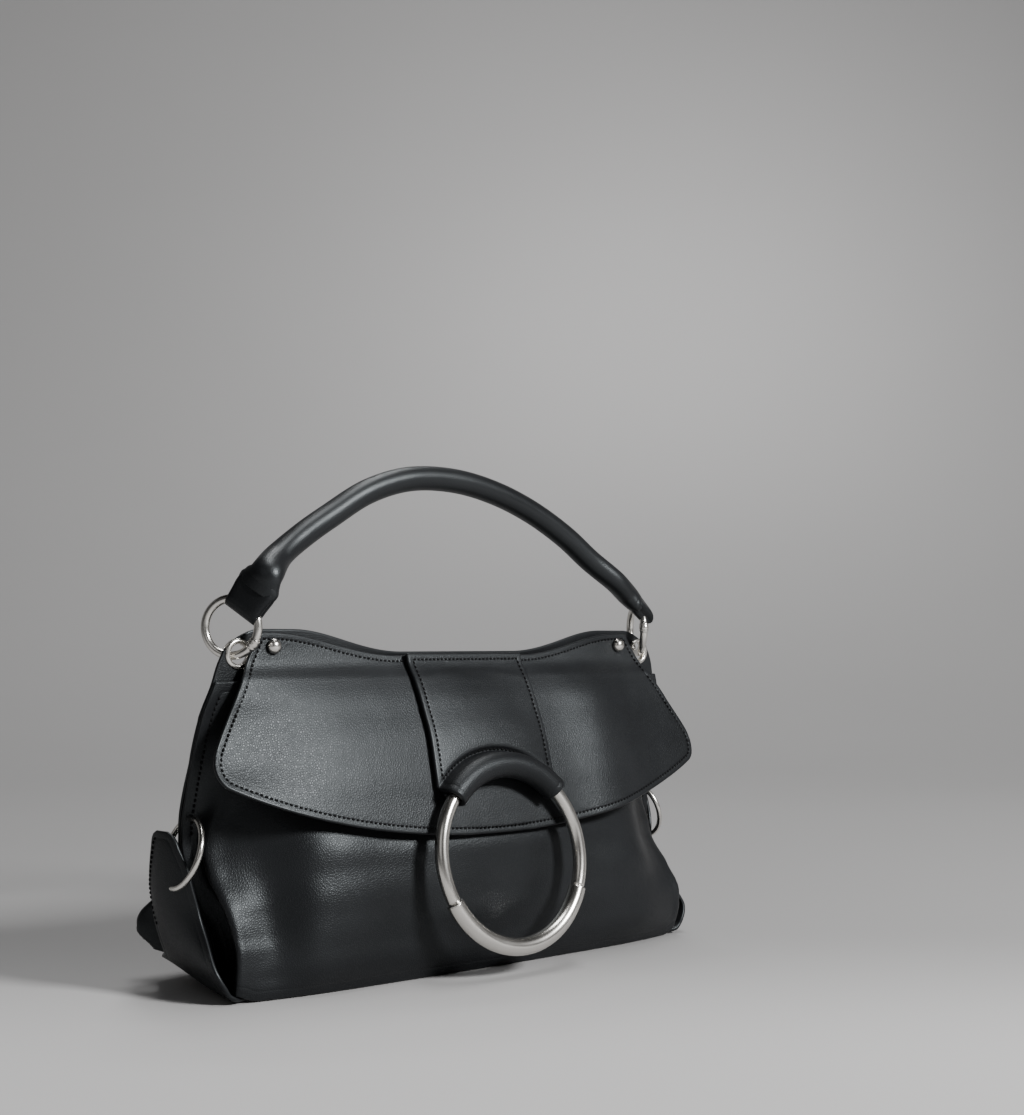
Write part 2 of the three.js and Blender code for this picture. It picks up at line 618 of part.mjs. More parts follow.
// Metal pieces of each side.
SIDES.forEach((side) => {
  const handleWire = new THREE.TorusGeometry(HANDLE_RING.radius, HANDLE_RING.wire, 6, 24);
  const ring = addPiece(`handle_ring_${side.word}`, handleWire, METAL);
  side.handleRing.decompose(ring.position, ring.quaternion, ring.scale);

  const half = PANEL_LEATHER / 2 + SEAM_GAP + EYELET.flange;
  const lip = half - EYELET.flange;
  const eyeletProfile = [
    [EYELET.inner, -lip],
    [EYELET.inner + EYELET.round, -half],
    [EYELET.outer - EYELET.round, -half],
    [EYELET.outer, -lip],
    [EYELET.barrel, -lip],
    [EYELET.barrel, lip],
    [EYELET.outer, lip],
    [EYELET.outer - EYELET.round, half],
    [EYELET.inner + EYELET.round, half],
    [EYELET.inner, lip],
    [EYELET.inner, -lip],
  ].map(([radius, height]) => new THREE.Vector2(radius, height));
  const eyelet = addPiece(`eyelet_${side.word}`, new THREE.LatheGeometry(eyeletProfile, 16), METAL);
  eyelet.position.copy(eyeletCentre(side)).setY(EAR_FACE - PANEL_LEATHER / 2);

  const face = flapFace(STUD.x, STUD.z - STUD.dome) - SEAM_GAP;
  const backFace = EAR_FACE + SEAM_GAP;
  const domeAt = (turn) => [STUD.dome * Math.cos(turn), face - STUD.rise * Math.sin(turn)];
  const studProfile = [
    [0, face - STUD.rise],
    domeAt(Math.PI / 3),
    domeAt(Math.PI / 6),
    [STUD.dome, face],
    [STUD.shank, face],
    [STUD.shank, backFace],
    [STUD.cap, backFace],
    [STUD.cap, backFace + STUD.capThick],
    [0, backFace + STUD.capThick],
  ].map(([radius, height]) => new THREE.Vector2(radius, height));
  const stud = addPiece(`flap_stud_${side.word}`, new THREE.LatheGeometry(studProfile, 10), METAL);
  stud.position.set(side.sign * STUD.x, 0, STUD.z);

  const sideWire = new THREE.TorusGeometry(SIDE_RING.radius, SIDE_RING.wire, 6, 24);
  const sideRing = addPiece(`side_ring_${side.word}`, sideWire, METAL);
  side.sideRing.decompose(sideRing.position, sideRing.quaternion, sideRing.scale);
});

export default bag;
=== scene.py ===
# %% [markdown]
# # A black leather shoulder bag
# The bag is soft leather with no frame inside: two walls that meet in raw side seams, a base whose
# ends turn up as tongues, a stiffer flap, a strap looped round a big ring, and a rolled handle.
# The rigid frame comes in first, because it fixes where every piece is and how the ring turns.

# %% Frame
import math
import bpy
import numpy as np
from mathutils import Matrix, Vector


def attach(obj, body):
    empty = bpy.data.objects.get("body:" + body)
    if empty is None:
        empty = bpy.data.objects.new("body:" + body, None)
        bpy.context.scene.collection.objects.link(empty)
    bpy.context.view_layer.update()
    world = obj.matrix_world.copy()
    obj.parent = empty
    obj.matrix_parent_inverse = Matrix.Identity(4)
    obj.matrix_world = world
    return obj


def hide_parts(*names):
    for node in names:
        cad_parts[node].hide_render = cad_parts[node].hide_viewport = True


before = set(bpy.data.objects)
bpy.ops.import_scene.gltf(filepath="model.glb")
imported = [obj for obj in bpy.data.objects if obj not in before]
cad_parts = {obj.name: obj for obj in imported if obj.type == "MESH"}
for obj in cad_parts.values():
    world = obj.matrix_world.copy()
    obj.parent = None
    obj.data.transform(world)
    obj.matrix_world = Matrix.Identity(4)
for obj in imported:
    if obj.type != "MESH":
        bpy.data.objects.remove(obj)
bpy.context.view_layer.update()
MM = 0.001

# %% [markdown]
# ## Camera
# The photograph looks at the bag's left front corner from low down. Its perspective gives the
# focal length, and the place follows from the ring, the base and the handle. The sensor fits the
# image's longer side, so the lens is the focal length in pixels times 36 mm over 1115 pixels.

# %% Camera
IMAGE_HEIGHT = 1115
FOCAL_PIXELS = 1690
SENSOR = 36
CAMERA_PLACE = (-0.642, -0.806, 0.190)
CAMERA_PITCH, CAMERA_YAW = 92.79, -41
camera = bpy.data.objects.new("camera", bpy.data.cameras.new("camera"))
camera.data.sensor_width = SENSOR
camera.data.lens = SENSOR * FOCAL_PIXELS / IMAGE_HEIGHT
camera.data.clip_start = 0.01
camera.location = CAMERA_PLACE
camera.rotation_euler = (math.radians(CAMERA_PITCH), 0, math.radians(CAMERA_YAW))
bpy.context.scene.collection.objects.link(camera)
bpy.context.scene.camera = camera
print("camera: lens", round(camera.data.lens, 2), "mm at", tuple(camera.location))

# %% [markdown]
# ## Tables and curves
# Leather takes its shape from a few sizes read at a few heights, so each wall is a short table,
# and everything between its rows is worked out. A cubic that never overshoots joins the rows, and
# a rounded curve through points joins places. Sizes are in millimetres until a mesh is made.

# %% Tables and curves
def table(columns, rows):
    """Rows of numbers under named columns, kept as one array for each column."""
    return {name: np.array(values, float) for name, values in zip(columns.split(), zip(*rows))}


def smooth(start, end, at):
    """Soft step from 0 at start to 1 at end."""
    share = np.clip((np.asarray(at, float) - start) / (end - start), 0, 1)
    return share * share * (3 - 2 * share)


def mix(first, second, share):
    return first + (second - first) * share


def from_table(rows, by, column, at):
    """Smooth value of one column, without overshooting any row."""
    places, values = rows[by], rows[column]
    rise = np.diff(values) / np.diff(places)
    before, after = rise[:-1], rise[1:]
    both = np.where(before + after == 0, 1, before + after)
    inner = np.where(before * after <= 0, 0, 2 * before * after / both)
    slope = np.concatenate([rise[:1], inner, rise[-1:]])
    at = np.clip(np.asarray(at, float), places[0], places[-1])
    k = np.clip(np.searchsorted(places, at, side="right") - 1, 0, len(places) - 2)
    span = places[k + 1] - places[k]
    t = (at - places[k]) / span
    start = values[k] + t * span * slope[k]
    end = values[k + 1] - (1 - t) * span * slope[k + 1]
    return mix(start, end, t * t * (3 - 2 * t))


def rounded_path(points, per_span=24):
    """Close points of a rounded curve through the given ones, the same number for each span."""
    points = np.asarray(points, float)
    ends = [2 * points[0] - points[1], *points, 2 * points[-1] - points[-2]]
    t = np.linspace(0, 1, per_span, endpoint=False)[:, None]
    spans = []
    for a, b, c, d in zip(ends, ends[1:], ends[2:], ends[3:]):
        ab, bc, cd = (max(np.linalg.norm(q - p), 1e-6) ** 0.5 for p, q in ((a, b), (b, c), (c, d)))
        leave = ((b - a) / ab - (c - a) / (ab + bc) + (c - b) / bc) * bc
        arrive = ((c - b) / bc - (d - b) / (bc + cd) + (d - c) / cd) * bc
        spans.append((2 * t ** 3 - 3 * t ** 2 + 1) * b + (t ** 3 - 2 * t ** 2 + t) * leave
                     + (3 * t ** 2 - 2 * t ** 3) * c + (t ** 3 - t ** 2) * arrive)
    return np.vstack([*spans, points[-1:]])


def lengths_along(path):
    steps = np.linalg.norm(np.diff(path, axis=0), axis=1)
    return np.concatenate([[0], np.cumsum(steps)])


def at_shares(path, shares):
    """Points at shares of a path's length."""
    along = lengths_along(path)
    at = np.asarray(shares) * along[-1]
    return np.stack([np.interp(at, along, axis) for axis in path.T], axis=-1)


def unit(vectors):
    return vectors / np.maximum(np.linalg.norm(vectors, axis=-1, keepdims=True), 1e-12)


print("tables: soft step at a quarter is", float(smooth(0, 1, 0.25)))

# %% [markdown]
# ## Finishes
# Shader sums read better as Python than as a web of nodes, so a small class wraps a socket and
# turns `+`, `-`, `*`, `/` and `**` into Math nodes. Every other node comes from one method, which sets the
# node's settings first and then its sockets, with a plain value or a link.

# %% Finish tools
class Value:
    """A shader socket that takes part in sums."""

    def __init__(self, finish, socket):
        self.finish = finish
        self.socket = socket

    def sum(self, operation, first, second):
        return self.finish.node("ShaderNodeMath", {"operation": operation}, {0: first, 1: second})

    def __add__(self, other):
        return self.sum("ADD", self, other)

    def __radd__(self, other):
        return self.sum("ADD", other, self)

    def __sub__(self, other):
        return self.sum("SUBTRACT", self, other)

    def __rsub__(self, other):
        return self.sum("SUBTRACT", other, self)

    def __mul__(self, other):
        return self.sum("MULTIPLY", self, other)

    def __rmul__(self, other):
        return self.sum("MULTIPLY", other, self)

    def __truediv__(self, other):
        return self.sum("DIVIDE", self, other)

    def __rtruediv__(self, other):
        return self.sum("DIVIDE", other, self)

    def __pow__(self, other):
        return self.sum("POWER", self, other)


class Finish:
    """A material built from node calls."""

    def __init__(self, name):
        self.material = bpy.data.materials.new(name)
        self.material.use_nodes = True
        self.tree = self.material.node_tree
        self.tree.nodes.clear()

    def node(self, kind, settings=None, sockets=None, output=0):
        made = self.tree.nodes.new(kind)
        for name, value in (settings or {}).items():
            setattr(made, name, value)
        for name, value in (sockets or {}).items():
            if isinstance(value, Value):
                self.tree.links.new(value.socket, made.inputs[name])
            else:
                made.inputs[name].default_value = value
        if len(made.outputs) == 0:
            return None
        return Value(self, made.outputs[output])

    def step(self, value, start, end):
        """Soft step of a value from 0 at start to 1 at end."""
        sockets = {"Value": value, "From Min": start, "From Max": end, "To Min": 0.0, "To Max": 1.0}
        return self.node("ShaderNodeMapRange", {"interpolation_type": "SMOOTHSTEP"}, sockets)

    def noise(self, place, per_metre, detail):
        sockets = {"Vector": place, "Scale": per_metre, "Detail": detail}
        return self.node("ShaderNodeTexNoise", {}, sockets)

    def colour(self, factor, first, second):
        """Blend of two colours: sockets 6 and 7 of a Mix node hold them and its output 2 the blend."""
        sockets = {0: factor, 6: (*first, 1), 7: (*second, 1)}
        return self.node("ShaderNodeMix", {"data_type": "RGBA"}, sockets, 2)

    def surface(self, sockets):
        """Ends the material in one shader with these sockets."""
        shader = self.node("ShaderNodeBsdfPrincipled", {}, sockets)
        self.node("ShaderNodeOutputMaterial", {}, {"Surface": shader})
        return self.material


print("finish tools: ready")

# %% [markdown]
# ## Leather
# The leather is black and half glossy, with a fine pebble that shows where light grazes it. Pebbles
# are cells a little over a millimetre wide with shallow valleys; a slower, larger waviness breaks up the
# reflections as in real hide. Cut edges are sealed with smooth black paint, and a stitched line
# pulls a shallow groove. Each mesh carries its distance to the edge and to the stitch line, so
# both follow the cut, which no plain texture coordinate would do.

# %% Leather finish
PEBBLES_PER_METRE = 780
FINE_GRAINS_PER_METRE = 2600
WAVES_PER_METRE = 42
CLOUDS_PER_METRE = 16
PEBBLE_VALLEY = 0.32
WAVE_HEIGHT = 3.2
GROOVE_DEPTH, GROOVE_TIGHTNESS = 1.6, 1.3
EDGE_PAINT = (0.15, 0.7)
TENTH_MM = 0.0001


def leather_finish(name, dark, light, pebble_depth, gloss, shine):
    finish = Finish(name)
    place = finish.node("ShaderNodeTexCoord", {}, {}, "Object")
    cells = finish.node("ShaderNodeTexVoronoi", {"feature": "DISTANCE_TO_EDGE"},
                        {"Vector": place, "Scale": PEBBLES_PER_METRE, "Randomness": 0.9})
    fine = finish.noise(place, FINE_GRAINS_PER_METRE, 2.0)
    cloud = finish.noise(place, CLOUDS_PER_METRE, 2.5)
    wave = finish.noise(place, WAVES_PER_METRE, 1.5)
    edge_gap = finish.node("ShaderNodeAttribute", {"attribute_name": "edge_gap"}, {}, "Fac")
    stitch_gap = finish.node("ShaderNodeAttribute", {"attribute_name": "stitch_gap"}, {}, "Fac")
    bare = finish.step(edge_gap, *EDGE_PAINT)
    groove = 1 / (1 + (stitch_gap * GROOVE_TIGHTNESS) ** 2)
    pebble = finish.step(cells, 0.0, PEBBLE_VALLEY)
    grain = (pebble * 0.7 + fine * 0.3) * bare * pebble_depth
    height = grain + wave * WAVE_HEIGHT - groove * GROOVE_DEPTH
    shape = finish.node("ShaderNodeBump", {}, {"Strength": 1.0, "Distance": TENTH_MM, "Height": height})
    tone = finish.colour(finish.step(cloud + 0.25 * pebble, 0.35, 0.85), dark, light)
    roughness = gloss + 0.16 * (cloud - 0.5) + 0.1 * (1 - pebble) * bare + 0.04 * (1 - bare)
    return finish.surface({"Base Color": tone, "Roughness": roughness, "Normal": shape,
                           "Specular IOR Level": shine, "Specular Tint": (0.9, 0.97, 1.0, 1.0)})


HIDE_TONES = (0.0045, 0.0047, 0.0054), (0.009, 0.0094, 0.0105)
hide = leather_finish("black leather", *HIDE_TONES, pebble_depth=0.75, gloss=0.35, shine=0.3)
rolled_hide = leather_finish("rolled black leather", *HIDE_TONES, pebble_depth=0.45, gloss=0.32, shine=0.42)
print("leather: pebbles", round(1000 / PEBBLES_PER_METRE, 2), "mm across")

# %% [markdown]
# ## Thread and metal
# The thread is waxed black cord with a twist, rougher than the leather, so it reads as dark
# dashes. The metal is satin nickel: fully metallic, faintly warm, with fine rubbed lines and
# clouded gloss from handling.

# %% Thread and metal finishes
TWISTS_PER_METRE = 2400
HANDLING_PER_METRE = 60
RUBS_PER_METRE = 1500


def thread_finish():
    finish = Finish("black thread")
    place = finish.node("ShaderNodeTexCoord", {}, {}, "Object")
    twist = finish.noise(place, TWISTS_PER_METRE, 1.0)
    shape = finish.node("ShaderNodeBump", {}, {"Strength": 0.6, "Distance": TENTH_MM, "Height": twist})
    tone = finish.colour(twist, (0.0015, 0.0015, 0.0018), (0.004, 0.004, 0.0045))
    return finish.surface({"Base Color": tone, "Roughness": 0.6 + 0.2 * twist, "Normal": shape,
                           "Specular IOR Level": 0.12})


def metal_finish():
    finish = Finish("satin nickel")
    place = finish.node("ShaderNodeTexCoord", {}, {}, "Object")
    cloud = finish.noise(place, HANDLING_PER_METRE, 3.0)
    rub = finish.noise(place, RUBS_PER_METRE, 2.0)
    tone = finish.colour(cloud, (0.66, 0.64, 0.60), (0.80, 0.78, 0.74))
    shape = finish.node("ShaderNodeBump", {}, {"Strength": 0.25, "Distance": TENTH_MM / 2, "Height": rub})
    return finish.surface({"Base Color": tone, "Metallic": 1.0, "Roughness": 0.17 + 0.1 * cloud + 0.05 * rub,
                           "Normal": shape})


waxed_thread = thread_finish()
satin_nickel = metal_finish()
print("thread and metal: ready")

# %% [markdown]
# ## Mesh helpers
# A leather piece is a face, a flesh side one thickness behind it, and a rounded rim. The face is
# a function of two shares, across and along, sampled on a grid with one tight row at each edge,
# so that smooth shading keeps the rim crisp. Modifiers could thicken a face too, but then the
# distances to the edge would not be known for the finish.

# %% Mesh helpers
BAG_BODY = "bag"
RING_BODY = "ring"
FAR_FROM_EDGE = 20.0
RIM_STEPS = 6
RIM_BULGE = 0.34
TIGHT_ACROSS, TIGHT_ALONG = 0.12, 0.2


def add_mesh(name, points, faces, material, body, gaps=None):
    """A shaded mesh that rides on a body of the frame. Gaps are the edge and stitch distances."""
    mesh = bpy.data.meshes.new(name)
    mesh.from_pydata((np.asarray(points) * MM).tolist(), [], [tuple(map(int, face)) for face in faces])
    mesh.materials.append(material)
    mesh.shade_smooth()
    edge, stitch = gaps if gaps is not None else (np.full(len(points), FAR_FROM_EDGE),) * 2
    for label, values in (("edge_gap", edge), ("stitch_gap", stitch)):
        mesh.attributes.new(label, "FLOAT", "POINT").data.foreach_set("value", np.asarray(values, np.float32))
    mesh.update()
    made = bpy.data.objects.new(name, mesh)
    bpy.context.scene.collection.objects.link(made)
    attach(made, body)
    return made


def nearest(points, line):
    """Distance from each point to the nearest of a line's points."""
    parts = np.array_split(points, 60)
    return np.concatenate([np.sqrt(((part[:, None] - line[None]) ** 2).sum(-1).min(1)) for part in parts])


def with_tight_ends(count, tight):
    """Even shares from 0 to 1 with one extra share close to each end."""
    even = np.linspace(0, 1, count + 1)
    return np.concatenate([[0, tight], even[1:-1], [1 - tight, 1]])


def leather_sheet(name, place, columns, rows, thickness, material, stitch_inset=None, punches=()):
    """A leather piece with the outer face place(across, along). Punches are (centre, axis, radius)."""
    across, along = np.meshgrid(with_tight_ends(columns, TIGHT_ACROSS / columns),
                                with_tight_ends(rows, TIGHT_ALONG / rows))
    face = place(across, along)
    tall, wide = across.shape
    normal = unit(np.cross(np.gradient(face, axis=1), np.gradient(face, axis=0)))
    index = np.arange(tall * wide).reshape(tall, wide)
    rim = np.concatenate([index[0, :-1], index[:-1, -1], index[-1, :0:-1], index[:0:-1, 0]])
    flat_face, flat_normal = face.reshape(-1, 3), normal.reshape(-1, 3)
    edge, edge_normal = flat_face[rim], flat_normal[rim]
    outward = unit(np.cross(np.roll(edge, -1, 0) - np.roll(edge, 1, 0), edge_normal))
    points = [flat_face, flat_face - thickness * flat_normal]
    for step in range(1, RIM_STEPS):
        turn = math.pi * step / RIM_STEPS
        sunk = thickness * (1 - math.cos(turn)) / 2
        points.append(edge - sunk * edge_normal + RIM_BULGE * thickness * math.sin(turn) * outward)
    quads = np.stack([index[:-1, :-1], index[:-1, 1:], index[1:, 1:], index[1:, :-1]], -1).reshape(-1, 4)
    middles = flat_face[quads].mean(1)
    for centre, axis, radius in punches:
        away = middles - np.asarray(centre, float)
        away = away - (away @ np.asarray(axis, float))[:, None] * np.asarray(axis, float)
        kept = np.linalg.norm(away, axis=1) > radius
        quads, middles = quads[kept], middles[kept]
    count = tall * wide
    between = [2 * count + len(rim) * k + np.arange(len(rim)) for k in range(RIM_STEPS - 1)]
    rings = [rim, *between, rim + count]
    faces = [quads, quads[:, ::-1] + count]
    for upper, lower in zip(rings, rings[1:]):
        faces.append(np.stack([upper, lower, np.roll(lower, -1), np.roll(upper, -1)], -1))
    gap = np.minimum(nearest(flat_face, edge), FAR_FROM_EDGE)
    stitch = gap - stitch_inset if stitch_inset else np.full(count, FAR_FROM_EDGE)
    far = np.full(count, FAR_FROM_EDGE)
    rim_zero = np.zeros(len(rim) * (RIM_STEPS - 1))
    gaps = (np.concatenate([gap, gap, rim_zero]), np.concatenate([stitch, far, rim_zero + FAR_FROM_EDGE]))
    made = add_mesh(name, np.concatenate(points), np.concatenate(faces), material, BAG_BODY, gaps)
    area = np.linalg.norm(np.cross(flat_face[quads[:, 1]] - flat_face[quads[:, 0]],
                                   flat_face[quads[:, 3]] - flat_face[quads[:, 0]]), axis=1).sum()
    corners = np.cumsum([0, wide - 1, tall - 1, wide - 1, tall - 1])
    sides = {side: np.arange(corners[k], corners[k + 1] + 1) % len(rim)
             for k, side in enumerate(("low", "end", "high", "start"))}
    print(name + ": points", len(made.data.vertices), "face area", round(area / 100, 1), "cm2")
    return {"piece": made, "edge": edge, "normal": edge_normal, "inward": -outward,
            "sides": sides, "area": area}


def tube(name, centres, first_axes, second_axes, outline, material, body, closed=False, gaps=None):
    """A solid through sections: outline gives each section's points as shares of two axes."""
    centres, first, second = (np.asarray(part, float) for part in (centres, first_axes, second_axes))
    outline = np.asarray(outline, float)
    if outline.ndim == 2:
        outline = np.broadcast_to(outline, (len(centres), *outline.shape))
    rings = centres[:, None] + outline[..., :1] * first[:, None] + outline[..., 1:] * second[:, None]
    count, sides = rings.shape[:2]
    index = np.arange(count * sides).reshape(count, sides)
    lower = index if closed else index[:-1]
    upper = np.roll(index, -1, 0) if closed else index[1:]
    turned = [np.roll(part, -1, 1) for part in (lower, upper)]
    faces = np.stack([lower, turned[0], turned[1], upper], -1).reshape(-1, 4).tolist()
    if not closed:
        faces += [index[0, ::-1].tolist(), index[-1].tolist()]
    return add_mesh(name, rings.reshape(-1, 3), faces, material, body, gaps)


def round_outline(sides):
    turn = np.linspace(0, 2 * math.pi, sides, endpoint=False)
    return np.stack([np.cos(turn), np.sin(turn)], -1)


print("mesh helpers: rim steps", RIM_STEPS)

# %% [markdown]
# ## Front and back walls
# Both walls are cut flat and pushed out by what the bag holds, so they billow low down and lie
# close together at the top. A level cut at any height runs from seam to seam through the middle,
# a flat shoulder, the crest of the end fold and the fold's root. Soft folds are added on top as
# gentle bumps and dents. A brow point close to the crest keeps its turn tight, as in sewn leather.

# %% Walls
PANEL_LEATHER = 2.0
SIDE_SEAM_GAP = 0.8
WALL_STAND = 3.2
FRONT_HEM = 167
LOW_ROWS = 1.3
HALFWAY_TURN = 0.28
WALL_COLUMNS = "z mid shoulder_x shoulder_y crest_x crest_y root_x root_y seam_x"
FRONT_SECTIONS = table(WALL_COLUMNS, [
    [0, -48, 120, -45, 165, -38.4, 150, -10, 151],
    [20, -55, 122, -53, 165.5, -42.5, 148, -13, 156],
    [42, -58, 122, -52, 166, -31, 154, -10, 166],
    [65, -57.5, 121, -46, 164.5, -17, 167, -6.5, 174],
    [84, -52.5, 120, -40.5, 158, -17, 169, -3.5, 177],
    [104, -45.5, 118, -35, 156, -16, 168, -6.5, 176],
    [125, -37.5, 116, -29.5, 153, -16.5, 166, -10.5, 175],
    [147, -28.5, 114, -24.5, 150, -18.5, 164, -15.6, 173],
    [167, -20, 110, -20, 146, -18.6, 159, -17.6, 168],
])
FRONT_LEFT_CREST = table("z x y", [
    [0, 166, -38.6],
    [8, 166, -39.8],
    [20, 165.5, -39.5],
    [30, 166, -37],
    [42, 167.5, -33],
    [52, 169.5, -27.5],
    [65, 171, -19],
    [84, 168, -12.5],
    [104, 159, -15],
    [125, 153, -16.5],
    [167, 146, -18.6],
])
BACK_SECTIONS = table(WALL_COLUMNS, [
    [0, 49, 120, 47.5, 168, 45, 150, 10, 151],
    [14, 56, 126, 55, 174.5, 52.5, 148, 13, 155],
    [42, 59, 122, 55, 166, 41.5, 151, 11, 166],
    [65, 55, 120, 48, 162, 26, 161, 7, 174],
    [84, 48, 119, 39, 159, 18, 169, 3.5, 177],
    [104, 39, 118, 30, 156, 11, 168, 0, 176],
    [125, 28, 116, 20, 154, 4, 167, -4.5, 175],
    [147, 14, 114, 8, 150, -5, 164, -9.6, 173],
    [167, -1, 110, -5, 143, -12.2, 156, -12.6, 168],
    [182, -13.5, 106, -12.6, 138, -12.6, 152, -12.6, 163.3],
    [196, -14.5, 100, -13, 130, -12.6, 144, -12.6, 153],
])
SEAM_LINE = table("z y", [[0, 0], [84, 0], [125, -7.5], [147, -12.4], [167, -15], [196, -15]])
FOLD_COLUMNS = "x z spread_x spread_z push"
FRONT_FOLDS = table(FOLD_COLUMNS, [
    [-143, 38, 13, 36, -6],
    [-115, 78, 30, 18, 4],
    [146, 66, 14, 30, -3.5],
    [-72, 30, 26, 16, -2.5],
])
BACK_FOLDS = table(FOLD_COLUMNS, [
    [-138, 78, 14, 32, -4.5],
    [138, 78, 14, 32, -4.5],
    [0, 120, 90, 16, -3],
])
FOLD_START = 12
SEAM_HOLD = 0.11
BROW_SHARE = 0.8
BROW_TO_COME = [0, 0]
TOP_SHIFT = 2.7
SHIFT_HEIGHTS = (140, 185)
END_LIFT = 14
LIFT_SPAN = (118, 170)
LIFT_DEPTH = (-45, 52)
LIFT_HEIGHT = 70
FOOT_LOW, FOOT_HIGH = 0.5, 4.2
FOOT_SPAN = (154, 166)
FOOT_FADE = 25
WALL_HIGHEST = 196
CUT_STEPS = 400


def end_lift(x, y, z):
    """How far the base and the walls' lower edges stand off the floor at both ends."""
    return END_LIFT * smooth(*LIFT_SPAN, np.abs(x)) * smooth(*LIFT_DEPTH, y) * (1 - smooth(0, LIFT_HEIGHT, z))


def foot(x, z):
    """How far a wall's lower rows reach down: beside the base, but onto it at the ends."""
    lowest = mix(FOOT_LOW, FOOT_HIGH, smooth(*FOOT_SPAN, np.abs(x)))
    return (lowest - WALL_STAND) * (1 - smooth(0, FOOT_FADE, z))


def top_shift(z):
    """The bag leans a little: its upper part sits to the right of its base."""
    return TOP_SHIFT * smooth(*SHIFT_HEIGHTS, z)


def level_cuts(sections, left_crest, facing, heights, shares):
    """Level cuts of a wall, one row of (x, y) for each height, at shares of their length."""
    cuts = []
    for z in heights:
        value = {name: float(from_table(sections, "z", name, z)) for name in sections}
        seam_y = float(from_table(SEAM_LINE, "z", "y", z)) + facing * (PANEL_LEATHER + SIDE_SEAM_GAP / 2)
        half = np.array([
            [value["shoulder_x"] / 2, mix(value["mid"], value["shoulder_y"], HALFWAY_TURN)],
            [value["shoulder_x"], value["shoulder_y"]],
            BROW_TO_COME,
            [value["crest_x"], value["crest_y"]],
            [value["root_x"], value["root_y"]],
            [value["seam_x"], seam_y],
        ])
        own = half.copy()
        if left_crest is not None:
            own[3] = [float(from_table(left_crest, "z", axis, z)) for axis in ("x", "y")]
        for side in (half, own):
            side[2] = mix(side[1], side[3], BROW_SHARE)
        start, end = own * [facing, 1], half * [-facing, 1]
        points = np.vstack([start[::-1], [[0, value["mid"]]], end])
        cuts.append(at_shares(rounded_path(points, 20), shares))
    return np.array(cuts)


def wall_face(sections, left_crest, folds, facing, top_at):
    """The outer face of a wall as a function of shares across and up."""
    heights, shares = np.arange(WALL_HIGHEST + 1), np.linspace(0, 1, CUT_STEPS + 1)
    cuts = level_cuts(sections, left_crest, facing, heights, shares)

    def place(across, up):
        z = top_at(across) * up ** LOW_ROWS
        row = np.clip(z, 0, WALL_HIGHEST - 0.001)
        column = np.clip(across * CUT_STEPS, 0, CUT_STEPS - 0.001)
        i, j = row.astype(int), column.astype(int)
        down, aside = (row - i)[..., None], (column - j)[..., None]
        below = mix(cuts[i, j], cuts[i, j + 1], aside)
        above = mix(cuts[i + 1, j], cuts[i + 1, j + 1], aside)
        level = mix(below, above, down)
        x, y = level[..., 0], level[..., 1]
        freed = smooth(0, FOLD_START, z) * smooth(0, SEAM_HOLD, np.minimum(across, 1 - across))
        for fold_x, fold_z, spread_x, spread_z, push in zip(*folds.values()):
            bump = np.exp(-((x - fold_x) / spread_x) ** 2 - ((z - fold_z) / spread_z) ** 2)
            y = y + facing * freed * push * bump
        height = z + WALL_STAND * (1 - z / FRONT_HEM) + foot(x, z) + end_lift(x, y, z)
        return np.stack([x + top_shift(z), y, height], -1)

    return place


EAR_SPAN = 340
EAR_ROUND = 14
TOP_LOW = 183
EAR_RISE = 13
EAR_SLOPE = (45, 132)


def top_edge(x):
    """Height of the back wall's top edge: low in the middle, high at the ears."""
    return TOP_LOW + EAR_RISE * smooth(*EAR_SLOPE, np.abs(x))


def back_top(share):
    inside = np.maximum(0, 1 - np.minimum(share, 1 - share) * EAR_SPAN / EAR_ROUND)
    return top_edge((share - 0.5) * EAR_SPAN) - EAR_ROUND * (1 - np.sqrt(1 - inside ** 2))


def front_top(share):
    return np.full_like(share, FRONT_HEM)


EAR_FACE = -12.6
EYELET_X, EYELET_Z, EYELET_PUNCH = 153.4, 182.3, 7.0
SEAM_MARGIN = 5.0
TOP_MARGIN = 4.0
eyelet_y = EAR_FACE - PANEL_LEATHER / 2
eyelet_places = {side: (side * EYELET_X + TOP_SHIFT, eyelet_y, EYELET_Z) for side in (-1, 1)}
eyelet_punches = [(place, (0, 1, 0), EYELET_PUNCH) for place in eyelet_places.values()]
front_face = wall_face(FRONT_SECTIONS, FRONT_LEFT_CREST, FRONT_FOLDS, -1, front_top)
back_face = wall_face(BACK_SECTIONS, None, BACK_FOLDS, 1, back_top)
front = leather_sheet("front_wall", front_face, 250, 84, PANEL_LEATHER, hide, SEAM_MARGIN)
back = leather_sheet("back_wall", back_face, 250, 96, PANEL_LEATHER, hide, TOP_MARGIN, eyelet_punches)
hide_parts("front_panel")
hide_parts("back_panel")

# %% [markdown]
# ## Base and tongues
# One strip of thicker leather makes the bottom and runs up outside both ends as a tongue. Its
# line from tip to tip is a table of half the bag, used for both ends, and its front and back edges
# have their own columns. Each tongue bows round the end and leans a little its own way. The flat
# part lies just inside the walls, so from outside the walls run down to the floor. The columns are
# the middle line's x and z, and the y of the front and of the back edge.

